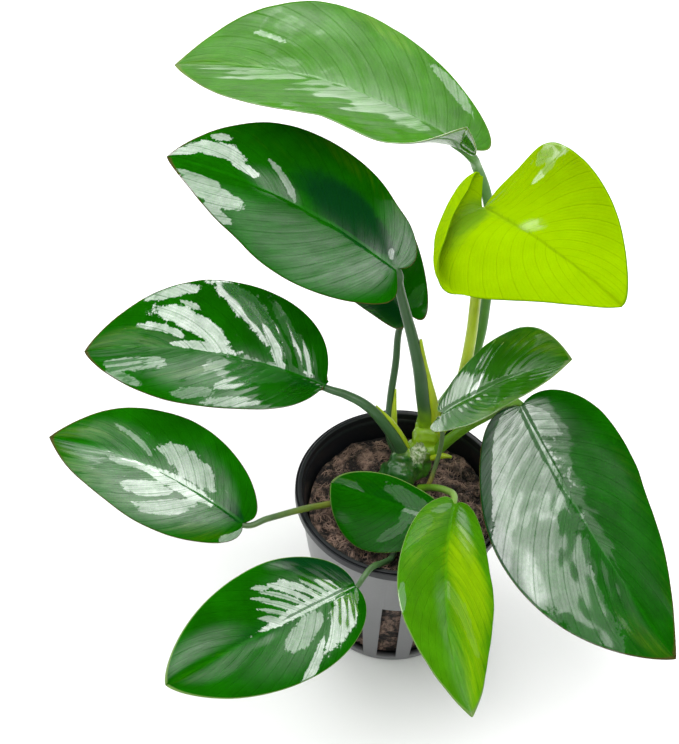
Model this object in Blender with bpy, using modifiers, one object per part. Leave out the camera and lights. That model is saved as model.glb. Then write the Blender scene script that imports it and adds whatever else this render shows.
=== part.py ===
"""Potted anubias: eleven broad leaves on stalks, a green rootstock, a plug of
fibrous growing medium and a small slotted plastic pot.

The frame's origin is the middle of the pot's underside, with +Z up and the
side that the photograph shows facing -Y.
"""
import math

import bmesh
import bpy
from mathutils import Vector

MM = 0.001
MERGE = 0.00001              # metres, for welding the meshes' seams and caps

# Pot, millimetres.
POT_HEIGHT = 48.0
POT_TOP_RADIUS = 26.3        # outside of the wall under the rim
POT_BASE_RADIUS = 19.0
POT_WALL = 1.2
POT_FLOOR = 1.5
POT_FOOT_BEVEL = 0.5
RIM_RADIUS = 27.5
RIM_DEPTH = 2.6
RIM_WALL = 1.6               # from the rim's outside to the pot's mouth
RIM_FLARE = 0.9              # how much the mouth widens through the rim
RIM_BEVEL = 0.4
POT_STEPS = 56               # four facets to each slot and rib
SLOT_COUNT = 14
SLOT_WIDTH = 5.0
SLOT_FOOT = 2.0              # height of the slots' lower ends
SLOT_HEAD = 28.0
SLOT_LEAN = 8.6              # degrees, the slope of the pot's wall
SLOT_CUT = 4.0               # how deep the slots' cutters are
FIRST_SLOT = -90.0           # degrees, a slot faces the front

# Growing medium.
MEDIUM_GAP = 0.4             # to the pot's facets
MEDIUM_EDGE = 38.0           # height of its surface at the wall
MEDIUM_CROWN = 42.0          # height of the mound in the middle
MEDIUM_RINGS = 4
MEDIUM_STEPS = 28
LUMP_HEIGHT = 0.8
LUMP_SPAN = (2.4, 2.7)       # millimetres a radian, across and away
LUMP_START = (0.8, 1.17)     # radians

# Rootstock: centre line and radii.
ROOTSTOCK_PATH = ((-0.5, 3.5, 44.5), (1.0, 7.5, 47.0), (3.5, 11.5, 49.5), (5.5, 14.5, 52.5))
ROOTSTOCK_RADII = (3.2, 4.4, 4.4, 3.6)
SPROUT_PATH = ((6.8, 9.4, 50.6), (9.6, 9.0, 52.4), (11.9, 8.6, 52.8))
SPROUT_RADII = (0.7, 0.7, 0.5)
CLEARANCE = 0.3              # gap between pieces that touch

# Leaf blades.
BLADE_THICKNESS = 0.8
BLADE_ROWS = 14              # along the leaf
BLADE_COLUMNS = 6            # across it
SINUS_ANGLE = 0.15           # outline angle at the notch
TIP_ANGLE = math.pi - 0.12   # outline angle at the blunt tip
LOBE_ANGLE = 0.35            # outline angle where the lobes reach furthest back
RIB_SPREAD = 1.5             # above 1 crowds the rows towards the notch
ROW_BOW = 1.4                # above 1 bows the rows towards the margin
FOLD_FADE = 0.6              # how much of the fold is gone at the tip
FOLD_REACH = 0.06            # of the width, where the fold beside the midrib ends
CUP_REACH = 0.05             # of the length, how far the cupped base goes
MIDRIB_STEPS = 100           # to the length of the blade
STEPS_BEHIND = 20            # and behind the notch
STEPS_BEYOND = 5             # and past the tip
HALF_STEPS = 8               # from the midrib to the margin

# Stalks taper by this power of the way up, and sheaths lose this share of their width.
STALK_TAPER = 0.6
SHEATH_TAPER = 0.75


class Leaf:
    """A blade's pose and outline. Lengths are millimetres and angles degrees.

    heading, pitch and roll give the midrib's direction at the notch, droop,
    sweep and twist are what they change by along the blade, egg moves the
    widest place towards the notch, point sharpens the tip, lobe is how far the
    blade reaches behind the notch, and fold and curl lift its two halves
    (left, right). lean and skew make the left half wider or more egg-shaped,
    and cup folds the left half up beside the notch.
    """

    def __init__(self, base, heading, pitch, roll, droop, sweep, twist, length, width,
                 egg=0.2, point=0.6, lobe=0.04, fold=(10, 10), curl=(-3, -2),
                 lean=0.0, skew=0.0, cup=0.0):
        self.base = Vector(base)
        self.heading, self.pitch, self.roll = heading, pitch, roll
        self.droop, self.sweep, self.twist = droop, sweep, twist
        self.length, self.width = length, width
        self.egg, self.point, self.lobe = egg, point, lobe
        self.fold, self.curl = fold, curl
        self.lean, self.skew, self.cup = lean, skew, cup
        self.trace_midrib()

    def frame(self, x):
        """Directions along the midrib, to its left and out of its face at x (0 to 1)."""
        pitch = math.radians(self.pitch - self.droop * x)
        heading = math.radians(self.heading + self.sweep * x)
        roll = math.radians(self.roll + self.twist * x)
        along = Vector((math.cos(pitch) * math.cos(heading),
                        math.cos(pitch) * math.sin(heading), math.sin(pitch)))
        left = Vector((-math.sin(heading), math.cos(heading), 0.0))
        up = along.cross(left)
        return (along, math.cos(roll) * left + math.sin(roll) * up,
                -math.sin(roll) * left + math.cos(roll) * up)

    def trace_midrib(self):
        """Step along the midrib, from behind the notch to past the tip."""
        step = self.length / MIDRIB_STEPS
        ahead = [self.base.copy()]
        for i in range(MIDRIB_STEPS + STEPS_BEYOND):
            ahead.append(ahead[-1] + self.frame((i + 0.5) / MIDRIB_STEPS)[0] * step)
        back = [self.base.copy()]
        for i in range(STEPS_BEHIND):
            back.append(back[-1] - self.frame(-(i + 0.5) / MIDRIB_STEPS)[0] * step)
        self.midrib = back[:0:-1] + ahead

    def on_midrib(self, x):
        place = x * MIDRIB_STEPS + STEPS_BEHIND
        last = len(self.midrib) - 2
        i = min(max(int(place), 0), last)
        return self.midrib[i].lerp(self.midrib[i + 1], min(max(place - i, 0.0), 1.0))

    def at(self, angle, across):
        """The point of the blade at an outline angle, from -1 (right edge) to 1."""
        side = 1 if across > 0 else -1
        half = 0 if across > 0 else 1
        lobe = self.lobe * angle / LOBE_ANGLE * math.exp(1 - angle / LOBE_ANGLE)
        edge_x = self.length * ((1 - math.cos(angle)) / 2 - lobe)
        edge_y = (self.width / 2 * (1 + side * self.lean)
                  * math.sin(angle) ** (1 + self.point * (1 - math.cos(angle)) / 2)
                  * (1 + (self.egg + side * self.skew) * math.cos(angle)))
        done = (angle - SINUS_ANGLE) / (TIP_ANGLE - SINUS_ANGLE)
        rib_x = self.length * done ** RIB_SPREAD
        share = abs(across)
        x = (rib_x + (edge_x - rib_x) * share ** ROW_BOW) / self.length
        along = min(max(x, 0.0), 1.0)
        fold = self.fold[half] * (1 - FOLD_FADE * along)
        if across > 0:
            fold += self.cup * math.exp(-along / CUP_REACH)
        reach, lift = 0.0, 0.0
        step = edge_y * share / HALF_STEPS
        for i in range(HALF_STEPS):
            out = step * (i + 0.5) / (self.width / 2)
            slope = math.radians(fold * (1 - math.exp(-out / (2 * FOLD_REACH)))
                                 + 2 * self.curl[half] * out)
            reach += math.cos(slope) * step
            lift += math.sin(slope) * step
        _, left, up = self.frame(x)
        return self.on_midrib(x) + left * (side * reach) + up * lift


LEAVES = {
    "top": Leaf((7.5, 44, 129), heading=146, pitch=7, roll=-2, droop=33, sweep=18, twist=-2,
                length=86, width=44, egg=-0.05, point=0.8, lobe=0.07, fold=(17, 12),
                curl=(7, 1), lean=-0.05, skew=0.24, cup=75),
    "upper": Leaf((-7, 20, 109), heading=147, pitch=13, roll=-16, droop=26, sweep=10, twist=2,
                  length=68.5, width=36.5, egg=0.22, point=0.5, lobe=0.05, curl=(-9, -1),
                  lean=-0.04, skew=0.25),
    "upper_back": Leaf((-4, 31, 83), heading=120, pitch=9, roll=-15, droop=42, sweep=1, twist=2,
                       length=53, width=27.5, egg=-0.12, lobe=0.12, curl=(-2, -5)),
    "left": Leaf((-22, 12, 72.5), heading=160, pitch=6, roll=-15, droop=37, sweep=10, twist=0,
                 length=68.5, width=36.5, egg=0.15, lobe=-0.01, fold=(11, 11), lean=-0.09),
    "lower_left": Leaf((-39.5, -20, 54.5), heading=151, pitch=17, roll=-12, droop=39, sweep=8,
                       twist=4, length=58.5, width=31.5, egg=0.16, point=0.8, skew=0.08),
    "front_left": Leaf((-10, -33, 49.5), heading=220, pitch=5, roll=-15, droop=13, sweep=-5,
                       twist=-1, length=55.5, width=31, point=0.4, lobe=0.01, fold=(9, 9),
                       curl=(-6, -3)),
    "front": Leaf((13, -12, 59.5), heading=-99, pitch=-8, roll=-17, droop=5, sweep=33, twist=-22,
                  length=59, width=28, egg=0, point=0.8, lobe=0.03, fold=(8, 9), curl=(-7, -6)),
    "centre": Leaf((10, -14, 55.5), heading=164, pitch=-2, roll=-44, droop=10, sweep=-12,
                   twist=-5, length=31, width=20, egg=-0.06, point=0.3, lobe=0.04,
                   fold=(11, 11), lean=0.34, skew=-0.07),
    "right": Leaf((27.5, 9, 74.5), heading=-52, pitch=-32, roll=19, droop=5, sweep=17, twist=-6,
                  length=75.5, width=44.5, egg=0.32, point=0.7, lobe=0.03, fold=(2, 10),
                  curl=(-17, -7), lean=-0.07, skew=0.12),
    "inner_right": Leaf((8, 6, 73), heading=3, pitch=49, roll=9, droop=23, sweep=-2, twist=1,
                        length=38, width=22.5, egg=-0.04, point=0.9, lobe=0.06, fold=(8, 12),
                        curl=(-3, 2), lean=0.17, skew=-0.38),
    "young": Leaf((12.5, 26, 127), heading=-54, pitch=25, roll=2, droop=21, sweep=3, twist=1,
                  length=54.5, width=41, egg=0.58, point=0.1, lobe=0.04, fold=(22, 7),
                  curl=(23, -21)),
}

# Stalks: points from the rootstock up to the blade, with the radii at both ends.
# The last point is added from the blade itself.
STALKS = {
    "top": (((5.0, 17.2, 53.5), (9.5, 22, 60), (13.5, 26.5, 65), (16, 31, 71.5), (17, 37, 82.5),
             (17, 42, 95.5), (14.5, 45, 110.5), (11, 46, 120)), 1.7, 1.3),
    "young": (((7.4, 14.2, 53.5), (10.6, 16, 63), (12.5, 18.5, 72), (13.5, 22, 83.5),
               (13.5, 24, 96), (13.5, 25.5, 112.5)), 1.8, 1.3),
    "upper": (((2.6, 12.6, 53), (2.6, 15.6, 65.5), (0.5, 17, 76.5), (-1.5, 18.5, 86),
               (-4, 19.5, 95.5), (-6, 20, 103.5)), 2.2, 1.0),
    "upper_back": (((-2.0, 11.5, 48.5), (-4.5, 15, 52), (-5, 20, 59), (-4.5, 26, 68),
                    (-4.5, 30, 75)), 1.1, 0.9),
    "left": (((0.0, 7.5, 48.5), (-2.5, 8.5, 55), (-5.5, 10, 60.5), (-11, 11, 67),
              (-16.5, 12, 69.5)), 1.8, 1.0),
    "lower_left": (((-1.5, 2.5, 44.5), (-8, 0, 44.5), (-16.8, -4.2, 45.8), (-25.3, -11.2, 50.6),
                    (-33.5, -17, 53)), 1.0, 0.8),
    "front_left": (((0.5, 1.0, 44.0), (-0.3, -10, 43.8), (-1.5, -19.2, 44.6), (-3.6, -23.4, 47.4),
                    (-6.3, -27, 49.9), (-8.3, -30.5, 50)), 1.0, 0.8),
    "centre": (((2.8, 3.0, 45.5), (6, -3.5, 49), (9.5, -9.5, 53)), 0.9, 0.8),
    "front": (((4.2, 5.0, 47.3), (7.4, 1.4, 52), (9.5, -2, 55.5), (11.5, -6.5, 58.5)), 1.0, 0.8),
    "inner_right": (((4.2, 8.2, 50), (6.6, 7.9, 55.5), (8.0, 7.6, 62), (7.8, 7.0, 68.5)), 1.2, 1.0),
    "right": (((7.0, 11.6, 49.5), (12, 11, 58.5), (16, 10.3, 64.5), (20.5, 9.6, 70),
               (24.3, 9.8, 74.3)), 1.6, 1.1),
}
# How far each stalk stops before the notch, behind it and below it.
STALK_END = {
    "top": (0.0, 1.5), "young": (0.0, 1.6), "upper": (0.0, 1.4), "upper_back": (0.3, 1.3),
    "left": (0.6, 0.0), "lower_left": (0.6, 0.3), "front_left": (0.6, 0.0),
    "centre": (1.4, 0.5), "front": (0.6, 0.2), "inner_right": (0.4, 0.9), "right": (1.3, 0.4),
}
# Pale sheaths that clasp the lower part of three stalks: path and half width.
SHEATHS = {
    "upper": (((5.6, 15.6, 57.5), (5.0, 16.4, 64), (3.4, 17.2, 71), (1.6, 18, 79.5)), 1.5),
    "left": (((-1.2, 8.8, 55.5), (-3.6, 9.8, 60), (-7.6, 10.8, 65.4)), 1.1),
    "upper_back": (((-3.4, 14.6, 52.4), (-3.5, 18, 57.5), (-3.8, 21.5, 62.5)), 0.9),
}

DARK_GREEN = (0.02, 0.12, 0.02)
MID_GREEN = (0.05, 0.22, 0.03)
FRESH_GREEN = (0.14, 0.36, 0.02)
LIME = (0.42, 0.56, 0.03)
STALK_GREEN = (0.06, 0.13, 0.05)
BLACK_PLASTIC = (0.02, 0.022, 0.025)
BROWN_FIBRE = (0.16, 0.10, 0.07)
BLADE_GREENS = {"young": LIME, "front": FRESH_GREEN, "top": MID_GREEN,
                "inner_right": MID_GREEN, "centre": MID_GREEN}


def clear_scene():
    for obj in list(bpy.data.objects):
        bpy.data.objects.remove(obj, do_unlink=True)


def new_collection(name):
    made = bpy.data.collections.new(name)
    bpy.context.scene.collection.children.link(made)
    return made


def material(name, colour, roughness):
    mat = bpy.data.materials.new(name)
    mat.use_nodes = True
    shader = mat.node_tree.nodes["Principled BSDF"]
    shader.inputs["Base Color"].default_value = (*colour, 1.0)
    shader.inputs["Roughness"].default_value = roughness
    shader.inputs["Metallic"].default_value = 0.0
    mat.diffuse_color = (*colour, 1.0)
    return mat


def place(obj, name, collection, mat=None):
    """Name an object, put it in its collection and give it its material."""
    obj.name = obj.data.name = name
    for old in list(obj.users_collection):
        old.objects.unlink(obj)
    collection.objects.link(obj)
    if mat:
        obj.data.materials.clear()
        obj.data.materials.append(mat)
    return obj


def turned(name, profile, steps, collection, mat):
    """A profile of (radius, height) points in millimetres, turned about Z."""
    mesh = bpy.data.meshes.new(name)
    points = [(r * MM, 0.0, z * MM) for r, z in profile]
    mesh.from_pydata(points, [(i, i + 1) for i in range(len(points) - 1)], [])
    obj = place(bpy.data.objects.new(name, mesh), name, collection, mat)
    screw = obj.modifiers.new("turn", "SCREW")
    screw.steps = screw.render_steps = steps
    screw.use_merge_vertices = True
    screw.merge_threshold = MERGE
    screw.use_smooth_shade = True
    return obj


def baked(obj, name, collection, mat):
    """The evaluated object as a plain mesh object, with its caps welded."""
    bpy.context.view_layer.update()
    graph = bpy.context.evaluated_depsgraph_get()
    mesh = bpy.data.meshes.new_from_object(obj.evaluated_get(graph))
    work = bmesh.new()
    work.from_mesh(mesh)
    bmesh.ops.remove_doubles(work, verts=work.verts, dist=MERGE)
    bmesh.ops.recalc_face_normals(work, faces=work.faces)
    work.to_mesh(mesh)
    work.free()
    made = bpy.data.objects.new(name, mesh)
    made.matrix_world = obj.matrix_world
    bpy.data.objects.remove(obj, do_unlink=True)
    return place(made, name, collection, mat)


def tube(name, points, radii, collection, mat, rings=2, sides=1):
    """A smooth round stem through points, with its own radius at each."""
    data = bpy.data.curves.new(name, "CURVE")
    data.dimensions = "3D"
    data.resolution_u = rings
    data.bevel_depth = MM
    data.bevel_resolution = sides
    data.use_fill_caps = True
    spline = data.splines.new("BEZIER")
    spline.bezier_points.add(len(points) - 1)
    for knot, point, radius in zip(spline.bezier_points, points, radii):
        knot.co = Vector(point) * MM
        knot.radius = radius
        knot.handle_left_type = knot.handle_right_type = "AUTO"
    obj = bpy.data.objects.new(name, data)
    collection.objects.link(obj)
    return baked(obj, name, collection, mat)


def cut(obj, cutter, operation="DIFFERENCE"):
    boolean = obj.modifiers.new(operation.lower(), "BOOLEAN")
    boolean.operation = operation
    boolean.solver = "EXACT"
    boolean.object = cutter


def hide_cutter(obj):
    obj.hide_render = True
    obj.display_type = "WIRE"
    return obj


def mouth_radius(height):
    """The inside of the pot's wall at a height under the rim."""
    base = POT_BASE_RADIUS - POT_WALL
    top = RIM_RADIUS - RIM_WALL - RIM_FLARE
    return base + (top - base) * (height - POT_FLOOR) / (POT_HEIGHT - RIM_DEPTH - POT_FLOOR)


def make_pot(parts, cutters):
    """The pot: a turned shell with a stepped rim and a ring of slots."""
    under_rim = POT_HEIGHT - RIM_DEPTH
    mouth = RIM_RADIUS - RIM_WALL
    profile = (
        (0.0, POT_FLOOR), (mouth_radius(POT_FLOOR), POT_FLOOR), (mouth_radius(under_rim), under_rim),
        (mouth, POT_HEIGHT - RIM_BEVEL), (mouth + RIM_BEVEL, POT_HEIGHT),
        (RIM_RADIUS - RIM_BEVEL, POT_HEIGHT), (RIM_RADIUS, POT_HEIGHT - RIM_BEVEL),
        (RIM_RADIUS, under_rim), (POT_TOP_RADIUS, under_rim),
        (POT_BASE_RADIUS, POT_FOOT_BEVEL), (POT_BASE_RADIUS - POT_FOOT_BEVEL, 0.0), (0.0, 0.0))
    pot = turned("net_pot", profile, POT_STEPS, parts,
                 material("black plastic", BLACK_PLASTIC, 0.45))
    middle = (SLOT_HEAD + SLOT_FOOT) / 2
    wall = POT_BASE_RADIUS + (POT_TOP_RADIUS - POT_BASE_RADIUS) * middle / POT_HEIGHT
    reach = (wall - POT_WALL / 2) * MM
    for i in range(SLOT_COUNT):
        turn = math.radians(FIRST_SLOT + 360 * i / SLOT_COUNT)
        bpy.ops.mesh.primitive_cube_add(
            size=1.0, location=(reach * math.cos(turn), reach * math.sin(turn), middle * MM),
            rotation=(0.0, math.radians(SLOT_LEAN), turn),
            scale=(SLOT_CUT * MM, SLOT_WIDTH * MM, (SLOT_HEAD - SLOT_FOOT) * MM))
        slot = hide_cutter(place(bpy.context.object, f"slot_{i + 1}", cutters))
        cut(pot, slot)


def make_medium(parts, mat):
    """The plug of growing medium, with a lumpy mounded top."""
    floor = POT_FLOOR + MEDIUM_GAP
    low = mouth_radius(floor) - MEDIUM_GAP
    high = mouth_radius(MEDIUM_EDGE) - MEDIUM_GAP
    top = [(high * i / MEDIUM_RINGS, MEDIUM_EDGE) for i in range(MEDIUM_RINGS + 1)]
    profile = top + [(low, floor), (0.0, floor)]
    plug = turned("growing_medium", profile, MEDIUM_STEPS, parts, mat)
    plug = baked(plug, "growing_medium", parts, mat)
    halfway = (MEDIUM_EDGE + floor) / 2
    for vertex in plug.data.vertices:
        x, y, z = vertex.co / MM
        if z < halfway:
            continue
        mound = (MEDIUM_CROWN - MEDIUM_EDGE) * max(1 - (x * x + y * y) / (high * high), 0.0)
        lump = math.sin(x / LUMP_SPAN[0] + LUMP_START[0]) * math.sin(y / LUMP_SPAN[1] + LUMP_START[1])
        vertex.co.z = (MEDIUM_EDGE + mound + LUMP_HEIGHT * lump) * MM
    return plug


def make_rootstock(parts, cutters, mat):
    """The rootstock, and the slightly larger solid that cuts what grows from it."""
    tube("rootstock", ROOTSTOCK_PATH, ROOTSTOCK_RADII, parts, mat, rings=3, sides=3)
    path = [Vector(point) for point in ROOTSTOCK_PATH]
    before = path[0] + (path[0] - path[1]).normalized() * CLEARANCE
    after = path[-1] + (path[-1] - path[-2]).normalized() * CLEARANCE
    radii = [radius + CLEARANCE for radius in ROOTSTOCK_RADII]
    return hide_cutter(tube("rootstock_clearance", [before, *path[1:-1], after], radii,
                            cutters, mat, rings=3, sides=3))


def make_blade(name, leaf, parts, mat):
    """A grid of quads laid over the leaf's surface, thickened on both sides."""
    bpy.ops.mesh.primitive_grid_add(x_subdivisions=BLADE_ROWS, y_subdivisions=BLADE_COLUMNS,
                                    size=2.0)
    blade = place(bpy.context.object, f"leaf_{name}", parts, mat)
    for vertex in blade.data.vertices:
        angle = SINUS_ANGLE + (TIP_ANGLE - SINUS_ANGLE) * (vertex.co.x + 1) / 2
        vertex.co = leaf.at(angle, vertex.co.y) * MM
    solid = blade.modifiers.new("thickness", "SOLIDIFY")
    solid.thickness = BLADE_THICKNESS * MM
    solid.offset = 0.0
    blade.data.shade_smooth()


def make_stalk(name, leaf, parts, cutters, mat, clearance):
    """A stalk from the rootstock to the notch of its blade, with its sheath."""
    path, start, end = STALKS[name]
    behind, below = STALK_END[name]
    along, _, up = leaf.frame(0.0)
    points = [Vector(p) for p in path] + [leaf.base - along * behind - up * below]
    span = len(points) - 1
    radii = [start + (end - start) * (i / span) ** STALK_TAPER for i in range(len(points))]
    stalk = tube(f"stalk_{name}", points, radii, parts, mat)
    if name in SHEATHS:
        sheath_path, width = SHEATHS[name]
        span = len(sheath_path) - 1
        widths = [width * (1 - SHEATH_TAPER * (i / span) ** 2) for i in range(len(sheath_path))]
        sheath = tube(f"sheath_{name}", sheath_path, widths, cutters, mat)
        cut(stalk, hide_cutter(sheath), "UNION")
    cut(stalk, clearance)


def main():
    clear_scene()
    parts = new_collection("potted anubias")
    cutters = new_collection("cutters")
    make_pot(parts, cutters)
    medium = make_medium(parts, material("brown fibre", BROWN_FIBRE, 0.95))
    clearance = make_rootstock(parts, cutters, material("rootstock", MID_GREEN, 0.4))
    cut(medium, clearance)
    cut(tube("sprout", SPROUT_PATH, SPROUT_RADII, parts, material("sprout", LIME, 0.4)), clearance)
    for name, leaf in LEAVES.items():
        colour = BLADE_GREENS.get(name, DARK_GREEN)
        make_blade(name, leaf, parts, material(f"blade {name}", colour, 0.3))
        stem = LIME if name == "young" else STALK_GREEN
        make_stalk(name, leaf, parts, cutters, material(f"stalk {name}", stem, 0.45), clearance)


main()
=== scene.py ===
"""Looks of the potted anubias: veined leaf blades, grooved stalks with sheaths, the knotted
rootstock, a plug of matted fibre and the slotted black pot, on a pale studio floor.

The frame's origin is the middle of the pot's underside, with +Z up. Lengths in the tables
below are millimetres and angles are degrees.
"""
import math
import random

import bpy
from bpy.props import FloatProperty, FloatVectorProperty, IntProperty, PointerProperty
from mathutils import Matrix, Vector, noise


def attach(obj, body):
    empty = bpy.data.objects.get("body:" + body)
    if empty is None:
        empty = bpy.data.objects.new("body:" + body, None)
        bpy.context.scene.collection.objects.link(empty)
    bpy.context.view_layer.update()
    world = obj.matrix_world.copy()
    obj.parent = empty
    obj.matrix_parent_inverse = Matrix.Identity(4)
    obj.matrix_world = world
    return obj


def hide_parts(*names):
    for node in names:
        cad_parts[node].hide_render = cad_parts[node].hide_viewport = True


bl_info = {
    "name": "Potted anubias",
    "version": (1, 0, 0),
    "blender": (4, 5, 0),
    "location": "View3D > Sidebar > Anubias",
    "description": "Builds the leaves, stalks, rootstock, fibre and pot of a potted anubias",
    "category": "Object",
}

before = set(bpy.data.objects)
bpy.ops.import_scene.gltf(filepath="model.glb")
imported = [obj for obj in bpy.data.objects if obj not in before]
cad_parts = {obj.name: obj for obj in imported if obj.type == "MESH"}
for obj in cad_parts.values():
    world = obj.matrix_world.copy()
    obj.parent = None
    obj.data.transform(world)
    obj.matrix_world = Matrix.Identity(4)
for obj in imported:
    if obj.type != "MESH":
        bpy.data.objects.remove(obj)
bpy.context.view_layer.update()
MM = 0.001
MERGE_BELOW = 0.01 * MM      # points nearer than this become one

# The camera's place.
VIEW_ELEVATION = 48.5
VIEW_ROLL = 5.0
VIEW_DISTANCE = 750.0
VIEW_TARGET = (-18.7, 27.9, 60.0)
FOCAL_PIXELS = 2889.0
IMAGE_HEIGHT = 744
SENSOR = 36.0

# Leaf blades.
ROWS = 144                   # along each blade
COLUMNS = 64                 # across it
SINUS_ANGLE = 0.05           # outline angle at the notch
TIP_ANGLE = math.pi - 0.04   # outline angle at the tip
LOBE_ANGLE = 0.35            # outline angle where the lobes reach furthest back
RIB_SPREAD = 1.5             # above 1 crowds the rows towards the notch
ROW_BOW = 1.4                # above 1 bows the rows towards the margin
FOLD_FADE = 0.6              # how much of the fold is gone at the tip
FOLD_REACH = 0.06            # of the width, where the fold beside the midrib ends
CUP_REACH = 0.05             # of the length, how far the cupped base goes
MIDRIB_STEPS = 100           # from the notch to the tip
STEPS_BEHIND = 20            # further ones behind the notch
STEPS_BEYOND = 5             # and past the tip
HALF_STEPS = 8               # from the midrib out to a place on one half
VEIN_SWEEP = 0.17            # how far the side veins run towards the tip
VEIN_SHIFT = 0.25            # how far the left half's veins are ahead, in vein pairs
ABOVE_ZERO = 4.0             # added to the vein field, which is negative in places
SWELL_INSET = 0.12           # of the half width, where the swells between veins begin
SWELL_SHAPE, SWELL_LEVEL = 0.7, 0.55     # a power below 1 flattens them; their mean height
WAVES = 1.7                  # along a margin
WAVE_STARTS = (0.3, 0.75)    # of the left and right margins' waves
LUMP_SIZES, LUMP_LIFT = (11.0, 4.5), 0.4     # the unevenness all over a blade
GROOVE_WIDTH, GROOVE_DEPTH = 0.7, 0.3    # the midrib's groove in the face
RIDGE_WIDTH, RIDGE_START = 0.9, 0.06     # its ridge on the underside
MARGIN_THIN, MARGIN_WIDTH = 0.55, 0.6    # the share of the thickness lost at the margin

# The young blade's right lobe, which stands up and is rolled over at its margin.
ROLL_END, ROLL_FADE = 0.36, 0.03         # along the blade
ROLL_SHARE = 0.40            # of the half blade
ROLL_RADIUS = 0.7
ROLL_TURN = 0.93 * math.pi   # how far round it goes
ROLL_FULL = 10.0             # a half narrower than this has a smaller roll
LOBE_RISE = (1.0, 6.0, 5.3)
LOBE_END, LOBE_FADE = 0.085, 0.022       # along the blade
BESIDE_MARGIN = 0.96


class Leaf:
    """A blade's pose and outline.

    heading, pitch and roll give the midrib's direction at the notch, and droop, sweep and
    twist say how far it bends down, turns left and rolls over on its way to the tip. egg moves
    the widest place towards the notch, point sharpens the tip, lobe is how far the blade
    reaches behind the notch, fold and curl lift its two halves (left, right), lean and skew
    make the left half wider or more egg-shaped, and cup folds the left half up beside the
    notch. wave and quilt are the heights of the margin's waves and of the swells between
    veins. A trim is (place along the blade, 1 for left or -1 for right, millimetres by which
    the margin moves out, reach along the blade). back draws the two lobes further back, and
    scroll raises the right lobe and rolls its margin over the face.
    """

    def __init__(self, base, heading, pitch, roll, droop, sweep, twist, length, width,
                 egg=0.2, point=0.6, lobe=0.04, fold=(10, 10), curl=(-3, -2),
                 lean=0.0, skew=0.0, cup=0.0, wave=0.4, quilt=0.05, trims=(), back=(0, 0),
                 scroll=False):
        self.base = Vector(base)
        self.heading, self.pitch, self.roll = heading, pitch, roll
        self.droop, self.sweep, self.twist = droop, sweep, twist
        self.length, self.width = length, width
        self.egg, self.point, self.lobe = egg, point, lobe
        self.fold, self.curl = fold, curl
        self.lean, self.skew, self.cup = lean, skew, cup
        self.wave, self.quilt, self.trims = wave, quilt, trims
        self.back, self.scroll = back, scroll
        self.trace_midrib()

    def frame(self, x):
        """Directions along the midrib, to its left and out of its face at x (0 to 1)."""
        pitch = math.radians(self.pitch - self.droop * x)
        heading = math.radians(self.heading + self.sweep * x)
        roll = math.radians(self.roll + self.twist * x)
        along = Vector((math.cos(pitch) * math.cos(heading),
                        math.cos(pitch) * math.sin(heading), math.sin(pitch)))
        left = Vector((-math.sin(heading), math.cos(heading), 0.0))
        up = along.cross(left)
        return (along, math.cos(roll) * left + math.sin(roll) * up,
                -math.sin(roll) * left + math.cos(roll) * up)

    def trace_midrib(self):
        """Step along the midrib, from behind the notch to past the tip."""
        step = self.length / MIDRIB_STEPS
        ahead = [self.base.copy()]
        for i in range(MIDRIB_STEPS + STEPS_BEYOND):
            ahead.append(ahead[-1] + self.frame((i + 0.5) / MIDRIB_STEPS)[0] * step)
        back = [self.base.copy()]
        for i in range(STEPS_BEHIND):
            back.append(back[-1] - self.frame(-(i + 0.5) / MIDRIB_STEPS)[0] * step)
        self.midrib = back[:0:-1] + ahead

    def on_midrib(self, x):
        """The midrib's point at x (0 to 1)."""
        place = x * MIDRIB_STEPS + STEPS_BEHIND
        last = len(self.midrib) - 2
        i = min(max(int(place), 0), last)
        return self.midrib[i].lerp(self.midrib[i + 1], min(max(place - i, 0.0), 1.0))

    def at(self, angle, across):
        """The place at an outline angle, from -1 (right edge) to 1.

        Returns the point, its share of the length and its distances from the midrib and
        from the margin.
        """
        side = 1 if across > 0 else -1
        half = 0 if across > 0 else 1
        hump = angle / LOBE_ANGLE * math.exp(1 - angle / LOBE_ANGLE)
        edge_x = self.length * ((1 - math.cos(angle)) / 2 - self.lobe * hump)
        edge_x -= self.back[half] * hump ** 3
        edge_y = (self.width / 2 * (1 + side * self.lean)
                  * math.sin(angle) ** (1 + self.point * (1 - math.cos(angle)) / 2)
                  * (1 + (self.egg + side * self.skew) * math.cos(angle)))
        done = (angle - SINUS_ANGLE) / (TIP_ANGLE - SINUS_ANGLE)
        for place, trimmed, change, reach in self.trims:
            if trimmed == side:
                edge_y += change * math.exp(-((done - place) / reach) ** 2) * math.sin(angle)
        rib_x = self.length * done ** RIB_SPREAD
        share = abs(across)
        x = (rib_x + (edge_x - rib_x) * share ** ROW_BOW) / self.length
        along = min(max(x, 0.0), 1.0)
        fold = self.fold[half] * (1 - FOLD_FADE * along)
        if across > 0:
            fold += self.cup * math.exp(-along / CUP_REACH)
        reach, lift = 0.0, 0.0
        step = edge_y * share / HALF_STEPS
        for i in range(HALF_STEPS):
            out = step * (i + 0.5) / (self.width / 2)
            slope = math.radians(fold * (1 - math.exp(-out / (2 * FOLD_REACH)))
                                 + 2 * self.curl[half] * out)
            reach += math.cos(slope) * step
            lift += math.sin(slope) * step
        _, left, up = self.frame(x)
        point = self.on_midrib(x) + left * (side * reach) + up * lift
        return point, x, edge_y * share, edge_y * (1 - share)


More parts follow.
